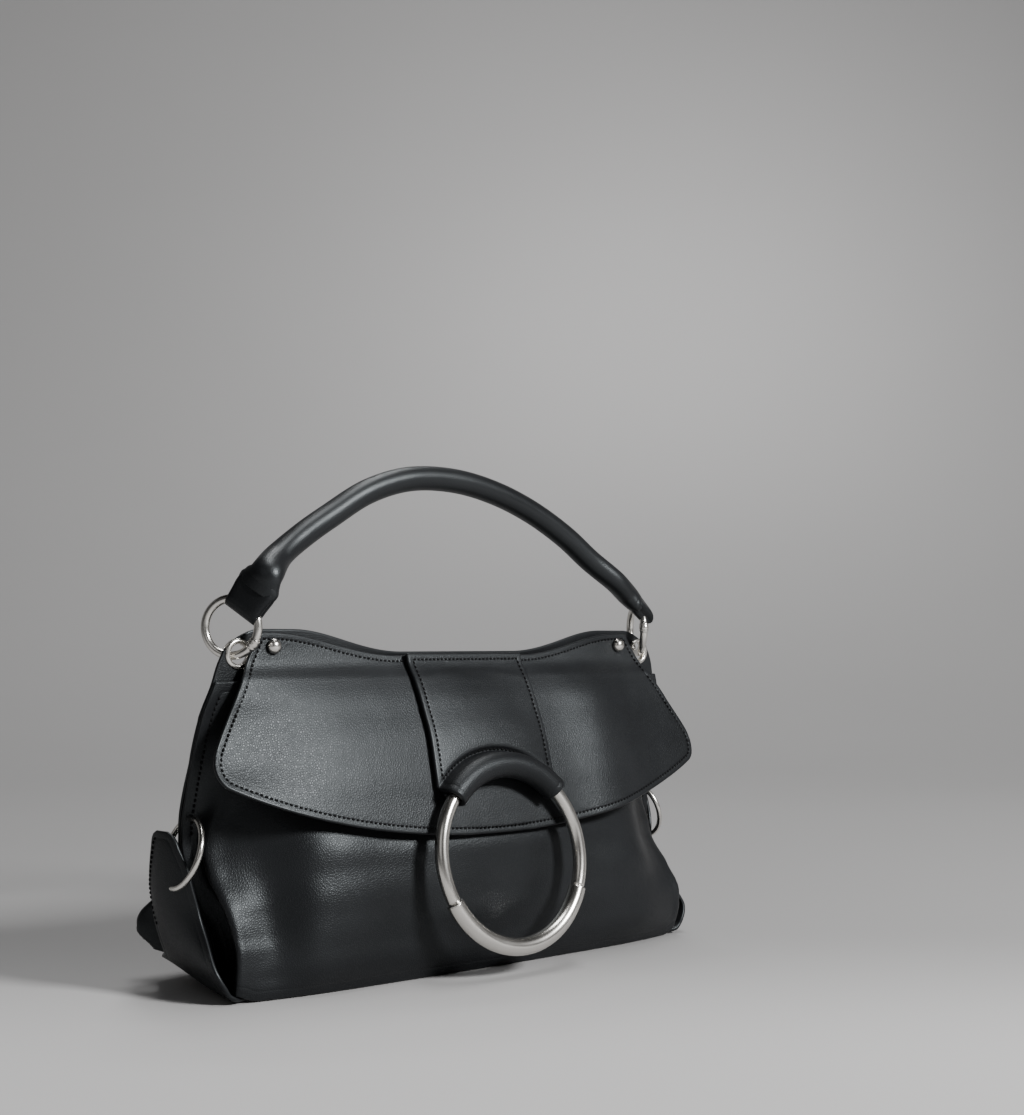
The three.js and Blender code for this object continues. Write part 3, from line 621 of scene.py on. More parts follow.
# %% Base
BASE_LEATHER = 2.4
EDGE_MARGIN = 3.0
BASE_SECTIONS = [
    [0, 0, -48, 49],
    [80, 0, -46.5, 48],
    [140, 0, -41.5, 47],
    [160, 0.2, -39.3, 43],
    [167, 1.5, -38.8, 36],
    [170.5, 4, -38.4, 29],
    [172.5, 7, -38.6, 24],
    [176, 13, -37.5, 20],
    [180, 25, -32, 20],
    [183.5, 40, -25.8, 22],
    [186, 55, -23.2, 18.5],
    [187.5, 70, -20.3, 11.5],
    [188, 79, -16, 7.6],
    [188, 83, -14, 6.6],
    [188, 86, -11, 4.4],
    [188, 87.2, -7.5, 1.4],
]
TONGUE_SHIFT = (6, 17)
TONGUE_TUCK = (0, 2.5)
TONGUE_BOW = 0.012
BASE_INSET = 3.2
INSET_FADE = (158, 169)
TONGUE_RISE = (15, 50)
base_rows = np.array([[-x, *rest] for x, *rest in BASE_SECTIONS[:0:-1]] + BASE_SECTIONS, float)
base_depths = {"middle": 0 * base_rows[:, 0], "front": base_rows[:, 2], "back": base_rows[:, 3]}
base_lines = {name: rounded_path(np.stack([base_rows[:, 0], depth, base_rows[:, 1]], -1), 40)
              for name, depth in base_depths.items()}
base_along = lengths_along(base_lines["middle"])


def base_face(across, along):
    at = np.interp(along * base_along[-1], base_along, np.arange(len(base_along)))
    steps = np.arange(len(base_along))
    middle_x, middle_z = (np.interp(at, steps, base_lines["middle"][:, axis]) for axis in (0, 2))
    front_y, back_y = (np.interp(at, steps, base_lines[name][:, 1]) for name in ("front", "back"))
    inset = BASE_INSET * (1 - smooth(*INSET_FADE, np.abs(middle_x)))
    raised = smooth(*TONGUE_RISE, middle_z)
    end = (middle_x > 0).astype(int)
    y = mix(front_y + inset, back_y - inset, across)
    x = middle_x - np.sign(middle_x) * raised * (TONGUE_BOW * y ** 2 + np.array(TONGUE_TUCK)[end])
    y = y + np.array(TONGUE_SHIFT)[end] * raised
    return np.stack([x, y, np.maximum(0, middle_z) + end_lift(x, y, middle_z)], -1)


base = leather_sheet("base_with_tongues", base_face, 56, 380, BASE_LEATHER, hide, EDGE_MARGIN)
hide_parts("base_panel")

# %% [markdown]
# ## Flap
# The flap is stiffer leather with straight flared sides and an arched lower edge. It hangs from
# the back wall's top and leans on the full front. Its face is one function of width and height, which
# the strap and studs use too, so they sit on it.

# %% Flap
FLAP_LEATHER = 2.2
FLAP_PROFILE = table("z y", [[80, -60.5], [100, -55], [120, -49.2], [150, -37.2], [168, -28.2],
                             [180, -21.2], [194, -18.8]])
FLAP_HALF, FLAP_WIDEST = 182, 118
FLAP_TOP_HALF, FLAP_TOP = 139.5, 194
FLAP_LOWEST, FLAP_ARCH = 79.5, 38.5
FLAP_CORNER = 14
FLAP_BELOW_TOP = 2.5
SIDE_BOW = 6
DENT_X, DENT_Z, DENT_WIDE, DENT_TALL, DENT_DEPTH = -174, 134, 48, 32, 8
SWELL_X, SWELL_WIDE, SWELL_RISE = 94, 28, 4.4
SWELL_FADE = (150, 190)


def flap_y(x, z):
    """Depth of the flap's face: its sides bow back, a corner sinks in, and it swells by the strap."""
    bow = SIDE_BOW * (x / FLAP_HALF) ** 2 * (1 - smooth(FLAP_WIDEST, FLAP_TOP, z))
    dent = DENT_DEPTH * np.exp(-((x - DENT_X) / DENT_WIDE) ** 2 - ((z - DENT_Z) / DENT_TALL) ** 2)
    swell = SWELL_RISE * np.exp(-((x - SWELL_X) / SWELL_WIDE) ** 2) * (1 - smooth(*SWELL_FADE, z))
    return from_table(FLAP_PROFILE, "z", "y", z) + bow + dent - swell


def flap_face(across, up):
    reach = 2 * across - 1
    inside = np.maximum(0, 1 - (1 - np.abs(reach)) * FLAP_HALF / FLAP_CORNER)
    low = FLAP_LOWEST + FLAP_ARCH * reach ** 2 + FLAP_CORNER * (1 - np.sqrt(1 - inside ** 2))
    z = mix(low, top_edge(reach * FLAP_TOP_HALF) - FLAP_BELOW_TOP, up)
    flare = (FLAP_TOP_HALF - FLAP_HALF) / (FLAP_TOP - FLAP_WIDEST)
    x = reach * (FLAP_HALF + (z - FLAP_WIDEST) * flare)
    return np.stack([x, flap_y(x, z), z], -1)


flap = leather_sheet("flap_leather", flap_face, 240, 90, FLAP_LEATHER, hide, EDGE_MARGIN)
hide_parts("flap")

# %% [markdown]
# ## Big ring
# The ring hangs in the strap's loop and leans against the bag. Its upper part is plain wire and
# its lower part a thicker sleeve with a small turned step at both ends. It is swept as one solid
# whose wire radius changes along the sweep.

# %% Big ring
RING_CENTRE = np.array([-1.5, -70, 67.1])
RING_RADIUS = 51.6
RING_WIRE = 4.0
RING_SLEEVE = 5.1
SLEEVE_HALF_ANGLE = 64
STEP_SPAN = (-0.35, 0.55)
GROOVE_AT, GROOVE_WIDE, GROOVE_CUT = -0.7, 0.45, 0.35
RING_LEAN = 11
ring_lean = math.radians(RING_LEAN)
ring_up = np.array([0, math.sin(ring_lean), math.cos(ring_lean)])
ring_axis = np.array([0, -math.cos(ring_lean), math.sin(ring_lean)])


def ring_outward(degrees):
    turn = np.radians(np.asarray(degrees, float))[..., None]
    return np.sin(turn) * np.array([1.0, 0, 0]) + np.cos(turn) * ring_up


def ring_wire(degrees):
    """Wire radius: thin above, a step with a fine groove, then the sleeve."""
    beyond = SLEEVE_HALF_ANGLE - (180 - np.abs(degrees))
    groove = GROOVE_CUT * np.exp(-((beyond - GROOVE_AT) / GROOVE_WIDE) ** 2)
    return RING_WIRE + (RING_SLEEVE - RING_WIRE) * smooth(*STEP_SPAN, beyond) - groove


near_step = 180 - SLEEVE_HALF_ANGLE + np.arange(-1.6, 1.6, 0.2)
steps = np.sort(np.concatenate([np.arange(-180, 180, 1.5), -near_step, near_step]))
outward = ring_outward(steps)
wire = ring_wire(steps)[:, None]
wire_axis = wire * np.broadcast_to(ring_axis, outward.shape)
big_ring = tube("big_ring", RING_CENTRE + RING_RADIUS * outward, wire * outward, wire_axis,
                round_outline(28), satin_nickel, RING_BODY, True)
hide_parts("front_ring")
print("big ring: sections", len(steps), "outer width", round(2 * (RING_RADIUS + RING_SLEEVE), 1), "mm")

# %% [markdown]
# ## Centre strap and its loop
# The strap is one strip of doubled leather. From its top it lies on the flap, is sewn across in an
# arc, and then rolls forward over the ring and up behind it. Every column across the strap gets its own
# path: a turn round the wire, a crease at the stitches, and the run up the flap, which is a little
# crowned above the crease.

# %% Strap
STRAP_LEATHER = 3.2
STRAP_HALF = 43
STRAP_STAND = 4.4
STRAP_TOP = 181.5
STRAP_CROWN = 2.6
CROWN_RISE, CROWN_FADE = (0, 0.07), (0.25, 0.85)
ROLL_START = 300
LOOP_HALF_ANGLE = 47
LOOP_RADIUS = 7.6
CREASE_RISE = 8.0


def strap_column(aside):
    """Outer line of the strap at a place across it (-1 to 1), from the loop's end to the top."""
    degrees = aside * LOOP_HALF_ANGLE
    outward = ring_outward(degrees)
    wire_at = RING_CENTRE + RING_RADIUS * outward
    turns = np.radians(np.arange(ROLL_START, -10, -15))[:, None]
    roll = wire_at + LOOP_RADIUS * (np.cos(turns) * outward + np.sin(turns) * ring_axis)
    crease = wire_at + CREASE_RISE * outward
    run = np.concatenate([[0, 0.015], np.linspace(0.05, 1, 16)])
    z = mix(crease[2], STRAP_TOP, run)
    x = mix(crease[0], STRAP_HALF * aside, smooth(0, 0.5, run))
    crown = STRAP_CROWN * (1 - aside ** 2) * smooth(*CROWN_RISE, run) * (1 - smooth(*CROWN_FADE, run))
    return np.vstack([roll, np.stack([x, flap_y(x, z) - STRAP_STAND - crown, z], -1)])


STRAP_COLUMNS, STRAP_ROWS = 60, 300
strap_shares = np.linspace(0, 1, STRAP_ROWS + 1)
strap_columns = np.array([at_shares(rounded_path(strap_column(aside), 10), strap_shares)
                          for aside in np.linspace(-1, 1, STRAP_COLUMNS + 1)])


def strap_face(across, up):
    column = np.clip(across * STRAP_COLUMNS, 0, STRAP_COLUMNS - 0.001)
    row = np.clip(up * STRAP_ROWS, 0, STRAP_ROWS - 0.001)
    i, j = column.astype(int), row.astype(int)
    aside, above = (column - i)[..., None], (row - j)[..., None]
    low = mix(strap_columns[i, j], strap_columns[i + 1, j], aside)
    high = mix(strap_columns[i, j + 1], strap_columns[i + 1, j + 1], aside)
    return mix(low, high, above)


strap = leather_sheet("strap_with_loop", strap_face, 60, 200, STRAP_LEATHER, hide, EDGE_MARGIN)
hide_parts("centre_strap")

# %% [markdown]
# ## Handle
# The handle is leather rolled round a core. Towards each end the roll spreads and flattens to a
# cut edge, and from it a flat doubled tab goes round the handle ring. The roll is swept through
# the arch's points; the tab is its own sweep with a boxy section, so the step at the cut edge shows.

# %% Handle
HANDLE_RADIUS = 7.35
HANDLE_ARCH = table("x y z width thick", [
    [-129, -19.5, 236, 8.3, 7.2],
    [-110, -16, 249, HANDLE_RADIUS, HANDLE_RADIUS],
    [-92, -14.5, 260, HANDLE_RADIUS, HANDLE_RADIUS],
    [-64, -14, 276, HANDLE_RADIUS, HANDLE_RADIUS],
    [-34, -14, 285, HANDLE_RADIUS, HANDLE_RADIUS],
    [0, -14, 286, HANDLE_RADIUS, HANDLE_RADIUS],
    [32, -14, 280.5, HANDLE_RADIUS, HANDLE_RADIUS],
    [62, -14.3, 270.2, HANDLE_RADIUS, HANDLE_RADIUS],
    [90, -15.5, 255.5, HANDLE_RADIUS, HANDLE_RADIUS],
    [110, -17.5, 241, HANDLE_RADIUS, HANDLE_RADIUS],
    [129, -21, 228, 8.3, 7.2],
])
HANDLE_RING = {"x": 156.1, "y": -11.3, "z": 197, "radius": 15.6, "wire": 2.4}
HANDLE_ENDS = {-1: {"yaw": 56, "grip": 55, "turned": 0}, 1: {"yaw": 62, "grip": 65, "turned": 1}}
arch_rows = np.stack(list(HANDLE_ARCH.values()), -1).tolist()


def handle_end(side):
    """The ring's centre and normal, where the tab holds it, and the tab's long and wide directions."""
    yaw, grip = (math.radians(HANDLE_ENDS[side][name]) for name in ("yaw", "grip"))
    level = np.array([-side * math.cos(yaw), -math.sin(yaw), 0])
    upward = np.array([0, 0, 1.0])
    centre = np.array([side * HANDLE_RING["x"] + TOP_SHIFT, HANDLE_RING["y"], HANDLE_RING["z"]])
    outward = math.cos(grip) * level + math.sin(grip) * upward
    held = centre + HANDLE_RING["radius"] * outward
    to_arch = unit(np.array(arch_rows[0 if side < 0 else -1][:3]) - held)
    along = unit(mix(outward, to_arch, HANDLE_ENDS[side]["turned"]))
    wide = math.sin(grip) * level - math.cos(grip) * upward
    wide = unit(wide - (wide @ along) * along)
    normal = np.array([side * math.sin(yaw), -math.cos(yaw), 0])
    return {"centre": centre, "normal": normal, "held": held, "along": along, "wide": wide}


ROLL_END = table("reach width thick", [[20, 9.6, 7.1], [15.5, 11.6, 6.9], [12, 12.8, 6.6], [9.2, 12.4, 6.3]])
ROLL_FLATTENS = (0.4, 0.72)
handle_ends = {side: handle_end(side) for side in (-1, 1)}
end_rows = {side: [[*(end["held"] + end["along"] * reach), width, thick]
                   for reach, width, thick in zip(*ROLL_END.values())]
            for side, end in handle_ends.items()}
handle_rows = np.array(end_rows[-1][::-1] + arch_rows + end_rows[1], float)
handle_line = rounded_path(handle_rows[:, :3], 20)
roll_steps = np.linspace(0, len(handle_rows) - 1, len(handle_line))
roll_table = {"step": np.arange(len(handle_rows)), "width": handle_rows[:, 3], "thick": handle_rows[:, 4]}
tangent = unit(np.gradient(handle_line, axis=0))
flatten = smooth(*ROLL_FLATTENS, np.abs(2 * roll_steps / roll_steps[-1] - 1))[:, None]
on_left = (roll_steps < roll_steps[-1] / 2)[:, None]
flat_axis = np.where(on_left, handle_ends[-1]["wide"], handle_ends[1]["wide"])
wide_axis = mix(np.array([0, -1.0, 0]), flat_axis, flatten)
wide_axis = unit(wide_axis - (wide_axis * tangent).sum(-1, keepdims=True) * tangent)
thick_axis = np.cross(tangent, wide_axis)
roll_width = from_table(roll_table, "step", "width", roll_steps)[:, None]
roll_thick = from_table(roll_table, "step", "thick", roll_steps)[:, None]
rounding = np.array([0.82, 0.93, 1.0])
end_share = np.ones(len(handle_line))
end_share[:3], end_share[-3:] = rounding, rounding[::-1]
handle = tube("handle_roll", handle_line, roll_width * wide_axis * end_share[:, None],
              roll_thick * thick_axis * end_share[:, None], round_outline(36), rolled_hide, BAG_BODY)
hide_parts("handle")
print("handle: length", round(lengths_along(handle_line)[-1], 1), "mm, sections", len(handle_line))

# %% [markdown]
# ## Handle tabs
# Each tab is two layers glued together and folded round the wire, so its section is a rounded
# box with a fine line along its sides, and its end is round like the fold.

# %% Handle tabs
TAB = table("reach width thick", [
    [-7.4, 10.4, 0.9],
    [-6.6, 10.6, 2.4],
    [-5, 10.8, 3.9],
    [-2.5, 10.9, 4.9],
    [0, 11, 5.2],
    [5, 11.4, 5.2],
    [9, 11.7, 5.0],
    [13, 10.8, 4.6],
])
LAYER_LINE, LAYER_LINE_WIDE = 0.045, 0.16


def boxy_outline(sides, power):
    """Rounded box as shares of two half axes, with a shallow line along both short sides."""
    turn = np.linspace(0, 2 * math.pi, sides, endpoint=False)
    cos, sin = np.cos(turn), np.sin(turn)
    reach = (np.abs(cos) ** power + np.abs(sin) ** power) ** (-1 / power)
    line = 1 - LAYER_LINE * np.exp(-(sin * reach / LAYER_LINE_WIDE) ** 2) * (np.abs(cos) > 0.5)
    return np.stack([reach * cos * line, reach * sin], -1)


reaches = np.concatenate([np.linspace(TAB["reach"][0], 0, 16), np.linspace(0, TAB["reach"][-1], 14)[1:]])
tab_width = from_table(TAB, "reach", "width", reaches)[:, None]
tab_thick = from_table(TAB, "reach", "thick", reaches)[:, None]
tabs = []
for side, word in ((-1, "left"), (1, "right")):
    end = handle_ends[side]
    middles = end["held"] + end["along"] * reaches[:, None]
    tabs.append(tube("handle_tab_" + word, middles, tab_width * end["wide"],
                     tab_thick * np.cross(end["along"], end["wide"]), boxy_outline(64, 6), hide, BAG_BODY))
print("handle tabs:", [tab.name for tab in tabs])

# %% [markdown]
# ## Small metal pieces
# Handle rings are bent wire closed by a short collar. Eyelets are turned shells that grip the ear's
# leather from both sides. Studs are domed rivets through the flap. The side rings are
# plain thin wire. Wire rings are swept; the turned pieces are a profile turned about an axis.

# %% Small metal pieces
def wire_ring(name, centre, normal, radius, wire_at):
    """A ring of wire whose radius may change round it."""
    normal = unit(np.asarray(normal, float))
    first = unit(np.cross([0, 0, 1.0], normal))
    second = np.cross(normal, first)
    turn = np.linspace(0, 2 * math.pi, 180, endpoint=False)
    outward = np.cos(turn)[:, None] * first + np.sin(turn)[:, None] * second
    wire = wire_at(np.degrees(turn))[:, None]
    thick = wire * np.broadcast_to(normal, outward.shape)
    outline = round_outline(18)
    return tube(name, centre + radius * outward, wire * outward, thick, outline, satin_nickel, BAG_BODY, True)


def turned(name, profile, centre, axis, closed=False, sides=48):
    """A profile of (radius, height) turned about an axis: closed round a bore, or from tip to tip."""
    axis = unit(np.asarray(axis, float))
    first = unit(np.cross([0.3, 0.2, 1.0], axis))
    second = np.cross(axis, first)
    profile = np.asarray(profile, float)
    middles = np.asarray(centre, float) + profile[:, 1:] * axis
    reach = np.maximum(profile[:, :1], 0.01)
    outline = round_outline(sides)
    return tube(name, middles, reach * first, reach * second, outline, satin_nickel, BAG_BODY, closed)


COLLAR_AT = {-1: 324, 1: 176}
COLLAR_RISE = 0.75
COLLAR_EDGE = (9, 10.5)
COLLAR_GROOVE, COLLAR_GROOVE_AT, COLLAR_GROOVE_WIDE = 0.3, 5, 1.6


def collared_wire(collar):
    def wire_at(degrees):
        away = np.abs((degrees - collar + 180) % 360 - 180)
        band = COLLAR_RISE * (1 - smooth(*COLLAR_EDGE, away))
        groove = COLLAR_GROOVE * np.exp(-((away - COLLAR_GROOVE_AT) / COLLAR_GROOVE_WIDE) ** 2)
        return HANDLE_RING["wire"] + band - groove * (away < COLLAR_EDGE[0])
    return wire_at


SIDE_RING_PLACE = {-1: (178, -4, 4), 1: (175, 5, 4)}
SIDE_RING_Z, SIDE_RING_RADIUS, SIDE_RING_WIRE, SIDE_RING_TILT = 76, 18.85, 1.65, 18


def plain_wire(degrees):
    return np.full_like(degrees, SIDE_RING_WIRE)


FLANGE_MIDDLE, FLANGE_HALF, FLANGE_SEAT, FLANGE_RISE = 7.05, 1.45, 1.2, 1.0


def flange(side):
    """One rounded flange of an eyelet, from the bore outward, on one side of the leather."""
    turn = np.linspace(0, math.pi, 9)
    return [(FLANGE_MIDDLE - FLANGE_HALF * math.cos(t), side * (FLANGE_SEAT + FLANGE_RISE * math.sin(t)))
            for t in turn]


STUD_X, STUD_Z, STUD_SEAT_Z = 132, 186.5, 182.5
STUD_RADIUS, STUD_RISE, STUD_PIN = 4.3, 3.6, 1.5
STUD_SINK = 0.3
CAP_RADIUS, CAP_FLAT, CAP_HEIGHT, CAP_SHOULDER = 3.4, 2.6, 1.1, 0.7
quarter = np.linspace(0, math.pi / 2, 12)
dome = [(STUD_RADIUS * math.cos(t), STUD_RISE * math.sin(t)) for t in quarter]
ring_tilt = math.radians(SIDE_RING_TILT)
metal_pieces = []
for side, word in ((-1, "left"), (1, "right")):
    end = handle_ends[side]
    ring = wire_ring("handle_ring_wire_" + word, end["centre"], end["normal"], HANDLE_RING["radius"],
                     collared_wire(COLLAR_AT[side]))
    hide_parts("handle_ring_" + word)
    shell = [*flange(1), *flange(-1)[::-1]]
    eyelet = turned("eyelet_shell_" + word, shell, eyelet_places[side], (0, 1, 0), True)
    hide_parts("eyelet_" + word)
    face_y = float(flap_y(STUD_X, STUD_SEAT_Z)) - STUD_SINK
    cap_y = EAR_FACE + STUD_SINK
    cap = [(0, cap_y + CAP_HEIGHT), (CAP_FLAT, cap_y + CAP_HEIGHT), (CAP_RADIUS, cap_y + CAP_SHOULDER),
           (CAP_RADIUS, cap_y), (STUD_PIN, cap_y)]
    outer = [(STUD_PIN, face_y), (STUD_RADIUS, face_y), *((radius, face_y - rise) for radius, rise in dome)]
    stud = turned("stud_" + word, cap + outer, (side * STUD_X, 0, STUD_Z), (0, 1, 0))
    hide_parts("flap_stud_" + word)
    x, y, yaw = SIDE_RING_PLACE[side]
    yaw = math.radians(yaw)
    level, rise = math.cos(ring_tilt), math.sin(ring_tilt)
    facing = (side * math.cos(yaw) * level, math.sin(yaw) * level, rise)
    centre = np.array([side * x, y, SIDE_RING_Z], float)
    small = wire_ring("side_ring_wire_" + word, centre, facing, SIDE_RING_RADIUS, plain_wire)
    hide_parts("side_ring_" + word)
    metal_pieces += [ring, eyelet, stud, small]
print("small metal pieces:", len(metal_pieces))

# %% [markdown]
# ## Stitches
# Every stitched edge has a row of short waxed stitches a few millimetres inside it. A row follows
# the leather's own edge, moved inward over the face, so it sits on the piece wherever the piece
# goes. Each stitch is a small thread capsule, half sunk and slightly slanted.

# %% Stitches
STITCH_PITCH = 2.9
STITCH_LENGTH = 2.0
STITCH_SLANT = 0.12
THREAD = 0.68
THREAD_SIDES = 6
FORWARD_STEP = 0.6
ROW_TOLERANCE = 0.97


def inset_row(sheet, inset, sides):
    """Points and normals of a line a little inside a leather piece's edge."""
    chosen = np.concatenate([sheet["sides"][side] for side in sides])
    line = sheet["edge"][chosen] + inset * sheet["inward"][chosen]
    kept = nearest(line, sheet["edge"]) > ROW_TOLERANCE * inset
    return line[kept], sheet["normal"][chosen][kept]


def sew(name, rows):
    """One mesh of stitches along rows of points with normals."""
    turn = np.linspace(0, 2 * math.pi, THREAD_SIDES, endpoint=False)
    lengthwise = np.array([-1, -0.8, 0, 0.8, 1]) * STITCH_LENGTH / 2
    girth = np.array([0.25, 0.8, 1.0, 0.8, 0.25]) * THREAD
    points, faces = [], []
    for line, normals in rows:
        along = lengths_along(line)
        count = int(along[-1] // STITCH_PITCH)
        for at in (np.arange(count) + 0.5) * along[-1] / count:
            spot = np.array([np.interp(at, along, axis) for axis in line.T])
            ahead = np.array([np.interp(at + FORWARD_STEP, along, axis) for axis in line.T])
            behind = np.array([np.interp(at - FORWARD_STEP, along, axis) for axis in line.T])
            up = unit(np.array([np.interp(at, along, axis) for axis in normals.T]))
            forward = unit(ahead - behind)
            aside = np.cross(up, forward)
            forward = unit(forward + STITCH_SLANT * aside)
            aside = np.cross(up, forward)
            first = len(points)
            for length, thick in zip(lengthwise, girth):
                middle = spot + length * forward + (0.1 - 0.35 * abs(length) / STITCH_LENGTH) * up
                points += [middle + thick * (math.cos(angle) * aside + math.sin(angle) * up)
                           for angle in turn]
            for ring in range(first, first + 4 * THREAD_SIDES, THREAD_SIDES):
                for k in range(THREAD_SIDES):
                    a, b = ring + k, ring + (k + 1) % THREAD_SIDES
                    faces.append((a, b, b + THREAD_SIDES, a + THREAD_SIDES))
    add_mesh(name, points, faces, waxed_thread, BAG_BODY)
    print(name + ": stitches", len(faces) // (4 * THREAD_SIDES))


ARC_ABOVE, ARC_PROUD = 0.9, 0.3


def strap_arc():
    """The row of stitches that closes the loop: an arc over the roll, on the strap's face."""
    spread = ring_outward(np.linspace(-0.9, 0.9, 200) * LOOP_HALF_ANGLE)
    over = RING_CENTRE + (RING_RADIUS + CREASE_RISE + ARC_ABOVE) * spread
    x, z = over[:, 0], over[:, 2]
    slope = (flap_y(x, z + 1) - flap_y(x, z - 1)) / 2
    normals = unit(np.stack([0 * x, -np.ones_like(x), slope], -1))
    return np.stack([x, flap_y(x, z) - STRAP_STAND - ARC_PROUD, z], -1), normals


def only(row, kept):
    """The part of a row of stitches that is kept."""
    return row[0][kept], row[1][kept]


SEAM_STITCHES_FROM = 84
EYELET_CLEARANCE = 11
TOP_STITCHES_HALF = 150
TONGUE_FROM_X, TONGUE_FROM_Z = 170, 35
STRAP_STITCHES_FROM = 112
sew("flap_stitches", [inset_row(flap, EDGE_MARGIN, ("low", "end", "high", "start"))])
seam_rows = [inset_row(front, SEAM_MARGIN, (side,)) for side in ("start", "end")]
top_row = inset_row(back, TOP_MARGIN, ("high",))
beside_eyelets = nearest(top_row[0], np.array(list(eyelet_places.values()))) > EYELET_CLEARANCE
sew("wall_stitches", [*(only(row, row[0][:, 2] > SEAM_STITCHES_FROM) for row in seam_rows),
                      only(top_row, beside_eyelets & (np.abs(top_row[0][:, 0]) < TOP_STITCHES_HALF))])
base_row = inset_row(base, EDGE_MARGIN, ("end",))
raised = base_row[0][:, 2] > TONGUE_FROM_Z
sew("tongue_stitches", [only(base_row, raised & (side * base_row[0][:, 0] > TONGUE_FROM_X))
                        for side in (-1, 1)])
strap_row = inset_row(strap, EDGE_MARGIN, ("end", "high", "start"))
sew("strap_stitches", [only(strap_row, strap_row[0][:, 2] > STRAP_STITCHES_FROM), strap_arc()])

# %% [markdown]
# ## Soft pieces
# The flap hangs as a free sheet; the size it is cut to is given here, with its face area. The leather
# keeps the shape that it has in the photograph, worked out by the tables, so no cloth is simulated.

# %% Soft pieces
flap_cut = (0.364, 0.124)
flap["area"] * 1e-6
print("soft pieces: flap", flap_cut, "area", round(flap["area"] * 1e-6, 5), "m2")

# %% [markdown]
# ## Studio
# The photograph has a plain grey sweep with no horizon. The floor is a wide bowl of paper, so the
# sweep has no edge from any side. A small strong key lamp stands before the bag, a little to its
# right. Only the flap's left half and a few folds mirror it, which gives the sharp fall from pale to
# black. A strip above lights the handle, a lamp lights the wall, and a weak wide one fills the left.
# Light and shade are painted into the paper: painted shade behind the bag, a painted glow of light on
# the wall, and painted darkness far before the bag, so that the metal has something dark to mirror.

# %% Studio
FLOOR_START, FLOOR_REACH = 0.3, 1.5
FLOOR_DROP = -0.0004
BEND_RADIUS = 2.1
WALL_TOP = 3.4
AROUND = 96
BACKWARD = (0.656, 0.755)
# Painted light: the paper is painted paler round this point on the wall behind the bag, as a glow of light.
PAINTED_GLOW = (2.74, 2.31, 0.87)
PAINTED_GLOW_REACH = 1.4
BRIGHTEST = 1.4
# Painted shade: the paper behind the bag is painted darker, as shade.
SHADE_BEHIND_SPAN = (-0.28, 0.1)
SHADED_BEHIND_TONE, PAINTED_GLOW_TONE = 0.58, 0.76
# Painted shade: far before the bag the paper is painted dark, so that the metal mirrors something dark.
PAINTED_DARK_SPAN = (0.8, 6.0)
PAINTED_DARK_LOSS = 0.8
PAPER_BRIGHTNESS = 0.475
PAPER_TINT = (1.0, 0.985, 0.98)
PAPER_CLOUDS_PER_METRE = 1.5


def painted_light_paper_finish():
    """Paper with painted light and shade: pale before the bag, painted dark far before it, painted
    darker behind it, and with a painted glow of light on the wall behind.
    """
    finish = Finish("grey paper with painted light and shade")
    place = finish.node("ShaderNodeTexCoord", {}, {}, "Object")
    cloud = finish.noise(place, PAPER_CLOUDS_PER_METRE, 2.0)
    x, y, z = (finish.node("ShaderNodeSeparateXYZ", {}, {0: place}, axis) for axis in range(3))
    # Painted shade: the paper is painted darker behind the bag.
    behind = finish.step(x * BACKWARD[0] + y * BACKWARD[1], *SHADE_BEHIND_SPAN)
    # Painted light: a glow of light painted round a point on the wall behind the bag.
    gaps = [value - middle for value, middle in zip((x, y, z), PAINTED_GLOW)]
    spread = 1 + (gaps[0] * gaps[0] + gaps[1] * gaps[1] + gaps[2] * gaps[2]) / PAINTED_GLOW_REACH ** 2
    # Painted shade: the paper far before the bag is painted dark for the metal to mirror.
    before = 1 - PAINTED_DARK_LOSS * finish.step(x * x + y * y, *PAINTED_DARK_SPAN)
    # The paper's tone sums the painted shade, the painted glow and the painted darkness.
    tone = (1 - behind) * before + behind * (SHADED_BEHIND_TONE + PAINTED_GLOW_TONE / (spread * spread))
    shade = tone * (0.97 + 0.06 * cloud) / BRIGHTEST
    palest = tuple(PAPER_BRIGHTNESS * BRIGHTEST * part for part in PAPER_TINT)
    colour = finish.colour(shade, (0, 0, 0), palest)
    return finish.surface({"Base Color": colour, "Roughness": 0.9 + 0.05 * cloud})


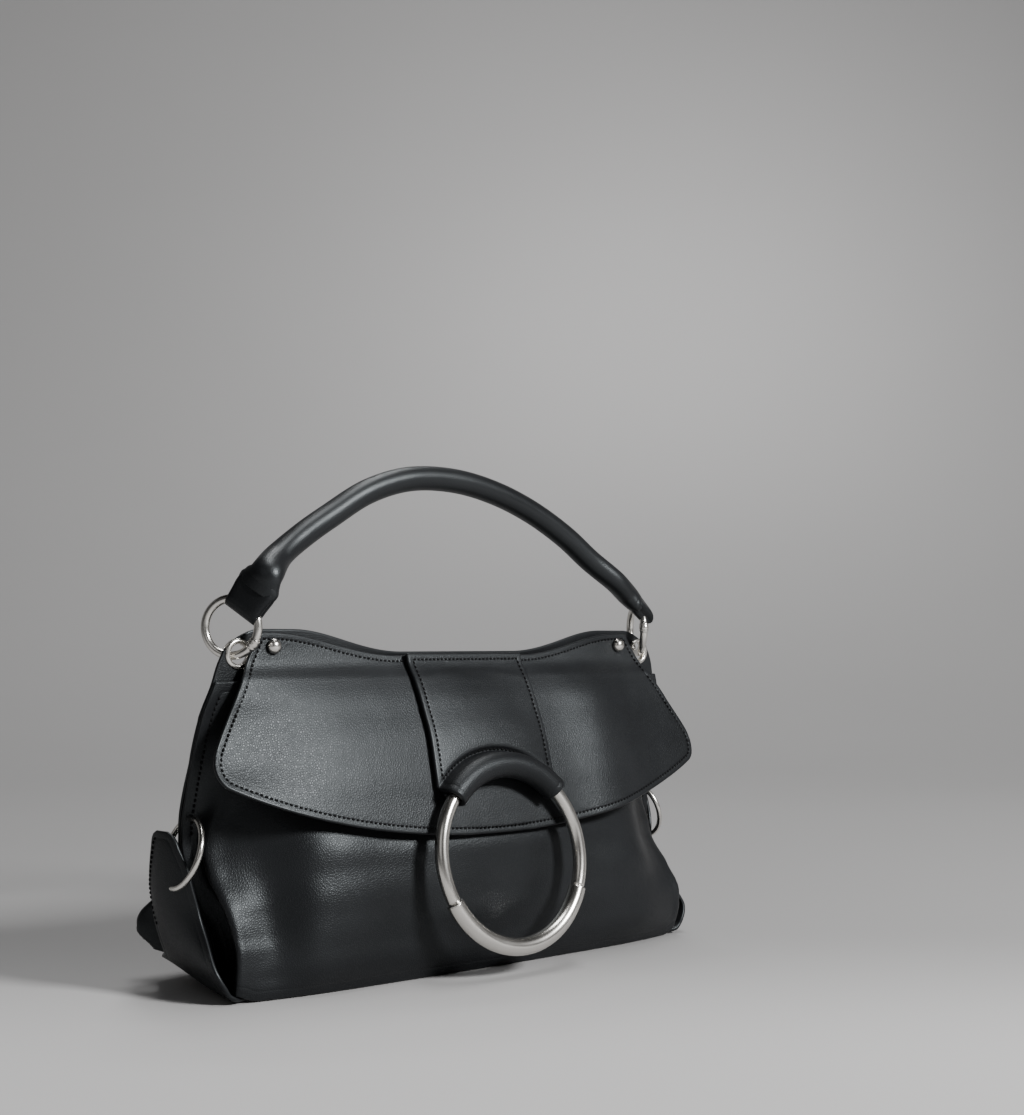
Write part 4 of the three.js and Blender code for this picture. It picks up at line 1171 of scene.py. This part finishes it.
bend = np.linspace(0, math.pi / 2, 14)
sweep = [*((reach, FLOOR_DROP) for reach in np.linspace(FLOOR_START, FLOOR_REACH, 10)),
         *((FLOOR_REACH + BEND_RADIUS * math.sin(t), BEND_RADIUS * (1 - math.cos(t))) for t in bend[1:]),
         (FLOOR_REACH + BEND_RADIUS, WALL_TOP)]
around = np.linspace(0, 2 * math.pi, AROUND, endpoint=False)
floor_points = [(reach * math.cos(t), reach * math.sin(t), rise) for reach, rise in sweep for t in around]
floor_faces = [tuple(range(AROUND))]
for ring in range(len(sweep) - 1):
    for k in range(AROUND):
        a, b = ring * AROUND + k, ring * AROUND + (k + 1) % AROUND
        floor_faces.append((a, a + AROUND, b + AROUND, b))
floor_mesh = bpy.data.meshes.new("floor")
floor_mesh.from_pydata(floor_points, [], floor_faces)
floor_mesh.materials.append(painted_light_paper_finish())
floor_mesh.shade_smooth()
floor = bpy.data.objects.new("floor", floor_mesh)
bpy.context.scene.collection.objects.link(floor)


def soft_lamp(name, place, aim, width, height, power):
    lamp = bpy.data.objects.new(name, bpy.data.lights.new(name, "AREA"))
    lamp.data.shape = "RECTANGLE"
    lamp.data.size, lamp.data.size_y = width, height
    lamp.data.energy = power
    lamp.location = place
    lamp.rotation_euler = (Vector(aim) - Vector(place)).to_track_quat("-Z", "Y").to_euler()
    bpy.context.scene.collection.objects.link(lamp)
    return lamp


lamps = [
    soft_lamp("key lamp", (0.59, -1.98, 1.32), (-0.05, 0, 0.12), 0.45, 0.45, 88),
    soft_lamp("top lamp", (0.2, -0.1, 2.4), (0, 0, 0.1), 1.4, 0.4, 24),
    soft_lamp("wall lamp", (0.9, 1.1, 2.6), (2.0, 2.3, 0.3), 1.0, 0.7, 36),
    soft_lamp("fill lamp", (-1.5, -1.0, 0.9), (0, 0, 0.1), 1.0, 1.0, 1.5),
]
WORLD_COLOUR, WORLD_STRENGTH = (0.8, 0.82, 0.85, 1), 0.16
world = bpy.data.worlds.new("studio")
world.use_nodes = True
world.node_tree.nodes["Background"].inputs["Color"].default_value = WORLD_COLOUR
world.node_tree.nodes["Background"].inputs["Strength"].default_value = WORLD_STRENGTH
world.cycles_visibility.glossy = False
bpy.context.scene.world = world
print("studio: lamps", len(lamps))
